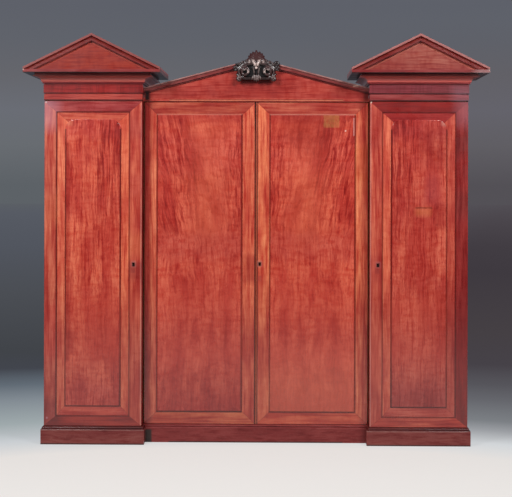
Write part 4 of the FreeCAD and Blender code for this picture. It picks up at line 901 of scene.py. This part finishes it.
# The sweeps of the right half
def carveHalf(depth):
    half = []
    # the scroll: a band that runs out from the stem and rolls in to its eye
    radii = [0.040 * 0.951 ** i for i in range(26)]
    girths = [0.008, 0.0095] + [0.0092] * 13 + [0.0076] * 7 + [0.0082, 0.0092, 0.0105, 0.011, 0.0095, 0.006]
    half.append(carveSweep((0.006, depth - 0.010, 2.0985), -3, [0.024, 0.024] + [r * 0.42 for r in radii],
                           [2, 0] + [24] * 26, girths, 0.8, 0.0006))
    # the long upper leaf with its lobes, down along the raking moulding
    girths = [0.008, 0.0135, 0.0155, 0.0145, 0.013, 0.012, 0.0115, 0.0105, 0.0075, 0.004]
    half.append(carveSweep((0.016, depth - 0.012, 2.184), 2, [0.0138] * 9,
                           [-6, -9, -9, -8, -4, 0, 4, 10, 14], girths, 0.6))
    lobes = [
        (0.036, 2.190, 34, 1.1), (0.060, 2.184, 24, 1.1), (0.086, 2.174, 20, 1.05), (0.108, 2.160, 4, 1.0)]
    for x, z, heading, size in lobes:
        girths = [girth * size for girth in (0.006, 0.009, 0.0092, 0.0075, 0.0035)]
        half.append(carveSweep((x, depth - 0.012, z), heading, [0.007 * size] * 4, [-10, -16, -20, -22],
                               girths, 0.75, 0.0008))
    for x, z, heading in ((0.050, 2.176, -42), (0.078, 2.166, -50), (0.102, 2.152, -46)):
        half.append(carveSweep((x, depth - 0.011, z), heading, [0.0062] * 3, [10, 16, 20],
                               [0.0055, 0.0075, 0.0068, 0.003]))
    # the lower sprig: a foot that rolls in under the band, and a small leaf on its shoulder
    girths = [0.008, 0.0105, 0.0118] + [0.0106] * 8 + [0.0100, 0.0090, 0.0070]
    half.append(carveSweep((0.070, depth - 0.012, 2.104), 2, [0.013, 0.011, 0.0075] + [0.0045] * 10,
                           [-6, -10, -20] + [-33] * 10, girths, 0.85, 0.0008))
    half.append(carveSweep((0.092, depth - 0.012, 2.106), 26, [0.0072] * 4, [8, 12, 16, 20],
                           [0.006, 0.0088, 0.0088, 0.0070, 0.0035], 0.8))
    # petals: a pair in a V over the bead, and one at each side of the shell's foot
    half.append(carveSweep((0.003, depth - 0.021, 2.167), 66, [0.0098] * 4, [-6, -6, -8, -8],
                           [0.005, 0.0088, 0.0092, 0.0072, 0.003], 0.85, 0.001))
    half.append(carveSweep((0.026, depth - 0.015, 2.184), 50, [0.0088] * 4, [8, 12, 14, 16],
                           [0.0055, 0.0095, 0.0092, 0.0062, 0.003], 0.8))
    # the reeds of the stem
    half.append(carveSweep((0.010, depth - 0.011, 2.098), 92, [0.018] * 4, [-2, -5, -7, -8],
                           [0.0045, 0.005, 0.0048, 0.0048, 0.004], 0.9, 0.001))
    # the curved bands between the stem and the scrolls
    half.append(carveSweep((0.021, depth - 0.014, 2.161), -116, [0.0105] * 6, [8, 8, 11, 14, 16, 14],
                           [0.004, 0.0056, 0.006, 0.006, 0.0056, 0.005, 0.004], 0.9, -0.0004))
    # half of the shell's ribs and half of the palmette's fronds
    for angle in (12, 31, 51, 71):
        reach = 0.047 + 0.007 * math.sin(math.radians(angle))
        half.append(carveSweep((0.003, depth - 0.0215, 2.199), angle, [reach / 4] * 4, [0] * 4,
                               ribGirths, 0.8, -0.0028))
    for x, angle, reach in ((0.0075, -78, 0.0096), (0.0140, -62, 0.0078)):
        half.append(carveSweep((x, depth - 0.0245, 2.116), angle, [reach] * 4, [-4] * 4,
                               frondGirths, 1.0, 0.0004))
    return half


# What stands on the middle line, and the two buds, which differ
def carveSingles(depth):
    # the little curled bud at the leaf's end, whole on the right and broken short on the left
    bud = carveSweep((0.112, depth - 0.010, 2.158), 62, [0.008, 0.007] + [0.0044] * 13,
                     [-10, -16] + [28] * 13,
                     [0.0055, 0.0060, 0.0075] + [0.0095] * 10 + [0.0085, 0.0075, 0.0060], 0.8)
    stub = carveSweep((-0.114, depth - 0.009, 2.156), 100, [0.010, 0.010, 0.008], [-8, -8, -12],
                      [0.0062, 0.006, 0.005, 0.0024], 0.8)
    rib = carveSweep((0, depth - 0.0215, 2.199), 90, [0.0150] * 4, [0] * 4, ribGirths, 0.8, -0.0028)
    frond = carveSweep((0, depth - 0.0255, 2.117), -90, [0.0108] * 4, [0] * 4, frondGirths, 1.0, 0.0004)
    return [bud, stub, rib, frond]


def mirrorHalf(half):
    bpy.ops.object.select_all(action="DESELECT")
    for piece in half:
        piece.select_set(True)
    bpy.context.view_layer.objects.active = half[0]
    bpy.ops.object.join()
    right = bpy.context.object
    bpy.ops.object.duplicate()
    left = bpy.context.object
    bpy.ops.object.mode_set(mode="EDIT")
    bpy.ops.mesh.select_all(action="SELECT")
    bpy.ops.transform.resize(value=(-1, 1, 1), center_override=(0, 0, 0))
    bpy.ops.mesh.normals_make_consistent(inside=False)
    bpy.ops.object.mode_set(mode="OBJECT")
    return [right, left]


# The ground that the carving is cut from, the shell's body and the bead
def carveBodies():
    ground = crestCarving["ground"]
    bpy.ops.object.select_all(action="DESELECT")
    bpy.ops.mesh.primitive_cylinder_add(
        vertices=48, radius=ground["radius"], depth=ground["depth"], location=ground["place"],
        rotation=(math.pi / 2, 0, 0))
    board = bpy.context.object
    bpy.ops.object.transform_apply(location=True, rotation=True, scale=True)
    bpy.ops.object.mode_set(mode="EDIT")
    bpy.ops.transform.resize(value=(1, 1, ground["squash"]), center_override=ground["place"])
    bpy.ops.object.mode_set(mode="OBJECT")
    core = crestCarving["shellCore"]
    bpy.ops.object.select_all(action="DESELECT")
    bpy.ops.mesh.primitive_uv_sphere_add(
        segments=32, ring_count=16, radius=core["radius"], location=core["place"])
    dome = bpy.context.object
    bpy.ops.object.transform_apply(location=True)
    bpy.ops.object.mode_set(mode="EDIT")
    bpy.ops.transform.resize(value=(1, core["forward"], 1), center_override=core["place"])
    bpy.ops.object.mode_set(mode="OBJECT")
    bead = crestCarving["bead"]
    bpy.ops.object.select_all(action="DESELECT")
    bpy.ops.mesh.primitive_ico_sphere_add(subdivisions=3, radius=bead["radius"], location=bead["place"])
    drop = bpy.context.object
    bpy.ops.object.transform_apply(location=True)
    return [board, dome, drop]


# All is fused into one block, as it was cut from one piece of wood, with a flat back
def carveCrest():
    depth = crestCarving["back"]
    half = carveHalf(depth)
    singles = carveSingles(depth)
    right, left = mirrorHalf(half)
    bodies = carveBodies()
    bpy.ops.object.select_all(action="DESELECT")
    for piece in [right, left] + bodies + singles:
        piece.select_set(True)
    bpy.context.view_layer.objects.active = right
    bpy.ops.object.join()
    carving = bpy.context.object
    carving.name = "crest_carving"
    bpy.ops.object.mode_set(mode="EDIT")
    bpy.ops.mesh.select_all(action="SELECT")
    bpy.ops.mesh.bisect(plane_co=(0, depth, 0), plane_no=(0, 1, 0), clear_outer=True, use_fill=True)
    bpy.ops.object.mode_set(mode="OBJECT")
    fuse = carving.modifiers.new("fuse", "REMESH")
    fuse.mode = "VOXEL"
    fuse.voxel_size = crestCarving["grid"]
    bpy.ops.object.modifier_apply(modifier=fuse.name)
    soften = carving.modifiers.new("soften", "SMOOTH")
    soften.factor, soften.iterations = 0.5, 3
    bpy.ops.object.modifier_apply(modifier=soften.name)
    bpy.ops.object.shade_smooth()
    return carving


# Dark French-polished carving: near black in the hollows, a red glow on what stands proud, very glossy
def carvedMahogany(name):
    material = freshMaterial(name)
    tree = material.node_tree
    place = addNode(tree, "TexCoord").outputs["Object"]
    x, y, z = addNode(tree, "SeparateXYZ", {0: place}).outputs
    deep, front = crestCarving["proud"]
    proud = addNode(tree, "MapRange", {0: y, 1: deep, 2: front, 3: 0.0, 4: 1.0})
    fibres = addNode(tree, "VectorMath", {0: place, 1: (260.0, 260.0, 40.0)}, operation="MULTIPLY")
    grain = addNode(tree, "TexNoise", {"Vector": fibres, "Scale": 1.0, "Detail": 3.0})
    share = addNode(tree, "Math", {0: grain, 1: proud}, operation="MULTIPLY")
    ramp = addNode(tree, "ValToRGB", {0: share})
    fillRamp(ramp.color_ramp, crestCarving["hollows"])
    low, high = crestCarving["shellFoot"]
    cover = crestCarving["shellCover"]
    shell = addNode(tree, "MapRange", {0: z, 1: low, 2: high, 3: 0.0, 4: cover})
    colour = addNode(tree, "Mix", {0: shell, 6: ramp, 7: hexColour(crestCarving["shell"])}, data_type="RGBA")
    # painted highlights on the petals, the bead and the scrolls; the same on both sides
    side = addNode(tree, "Math", {0: x}, operation="ABSOLUTE")
    folded = addNode(tree, "CombineXYZ", {0: side, 1: y, 2: z})
    pale = hexColour(crestCarving["pale"])
    for spot in crestCarving["crestHighlights"]:
        share = addNode(tree, "Math", {0: spotShare(tree, folded, spot), 1: proud}, operation="MULTIPLY")
        colour = addNode(tree, "Mix", {0: share, 6: colour, 7: pale}, data_type="RGBA")
    # the shell is dull with old wax, the scrolls below it shine, and the foot is worn dull again
    dull = addNode(tree, "Math", {0: shell, 1: 0.4, 2: 0.3}, operation="MULTIPLY_ADD")
    rough = addNode(tree, "Math", {0: grain, 1: 0.16, 2: dull}, operation="MULTIPLY_ADD")
    scrollGloss, shellGloss = crestCarving["gloss"]
    gloss = addNode(tree, "MapRange", {0: shell, 1: 0.0, 2: cover, 3: scrollGloss, 4: shellGloss})
    gloss = addNode(tree, "Math", {0: gloss, 1: proud}, operation="MULTIPLY")
    low, high = crestCarving["wornFoot"]
    worn = addNode(tree, "MapRange", {0: z, 1: low, 2: high, 3: 0.35, 4: 1.0})
    gloss = addNode(tree, "Math", {0: gloss, 1: worn}, operation="MULTIPLY")
    bump = addNode(tree, "Bump", {"Strength": 0.3, "Distance": 0.0004, "Height": grain})
    shader = addNode(tree, "BsdfPrincipled", {
        "Base Color": colour, "Roughness": rough, "Normal": bump, "Coat Weight": gloss,
        "Coat Roughness": 0.16, "Specular IOR Level": 0.25})
    addNode(tree, "OutputMaterial", {0: shader})
    return material


carving = carveCrest()
carving.data.materials.clear()
carving.data.materials.append(carvedMahogany("polished_dark_mahogany_carving"))
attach(carving, "case")
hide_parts("crest")
print("crest carved,", len(carving.data.polygons), "faces")
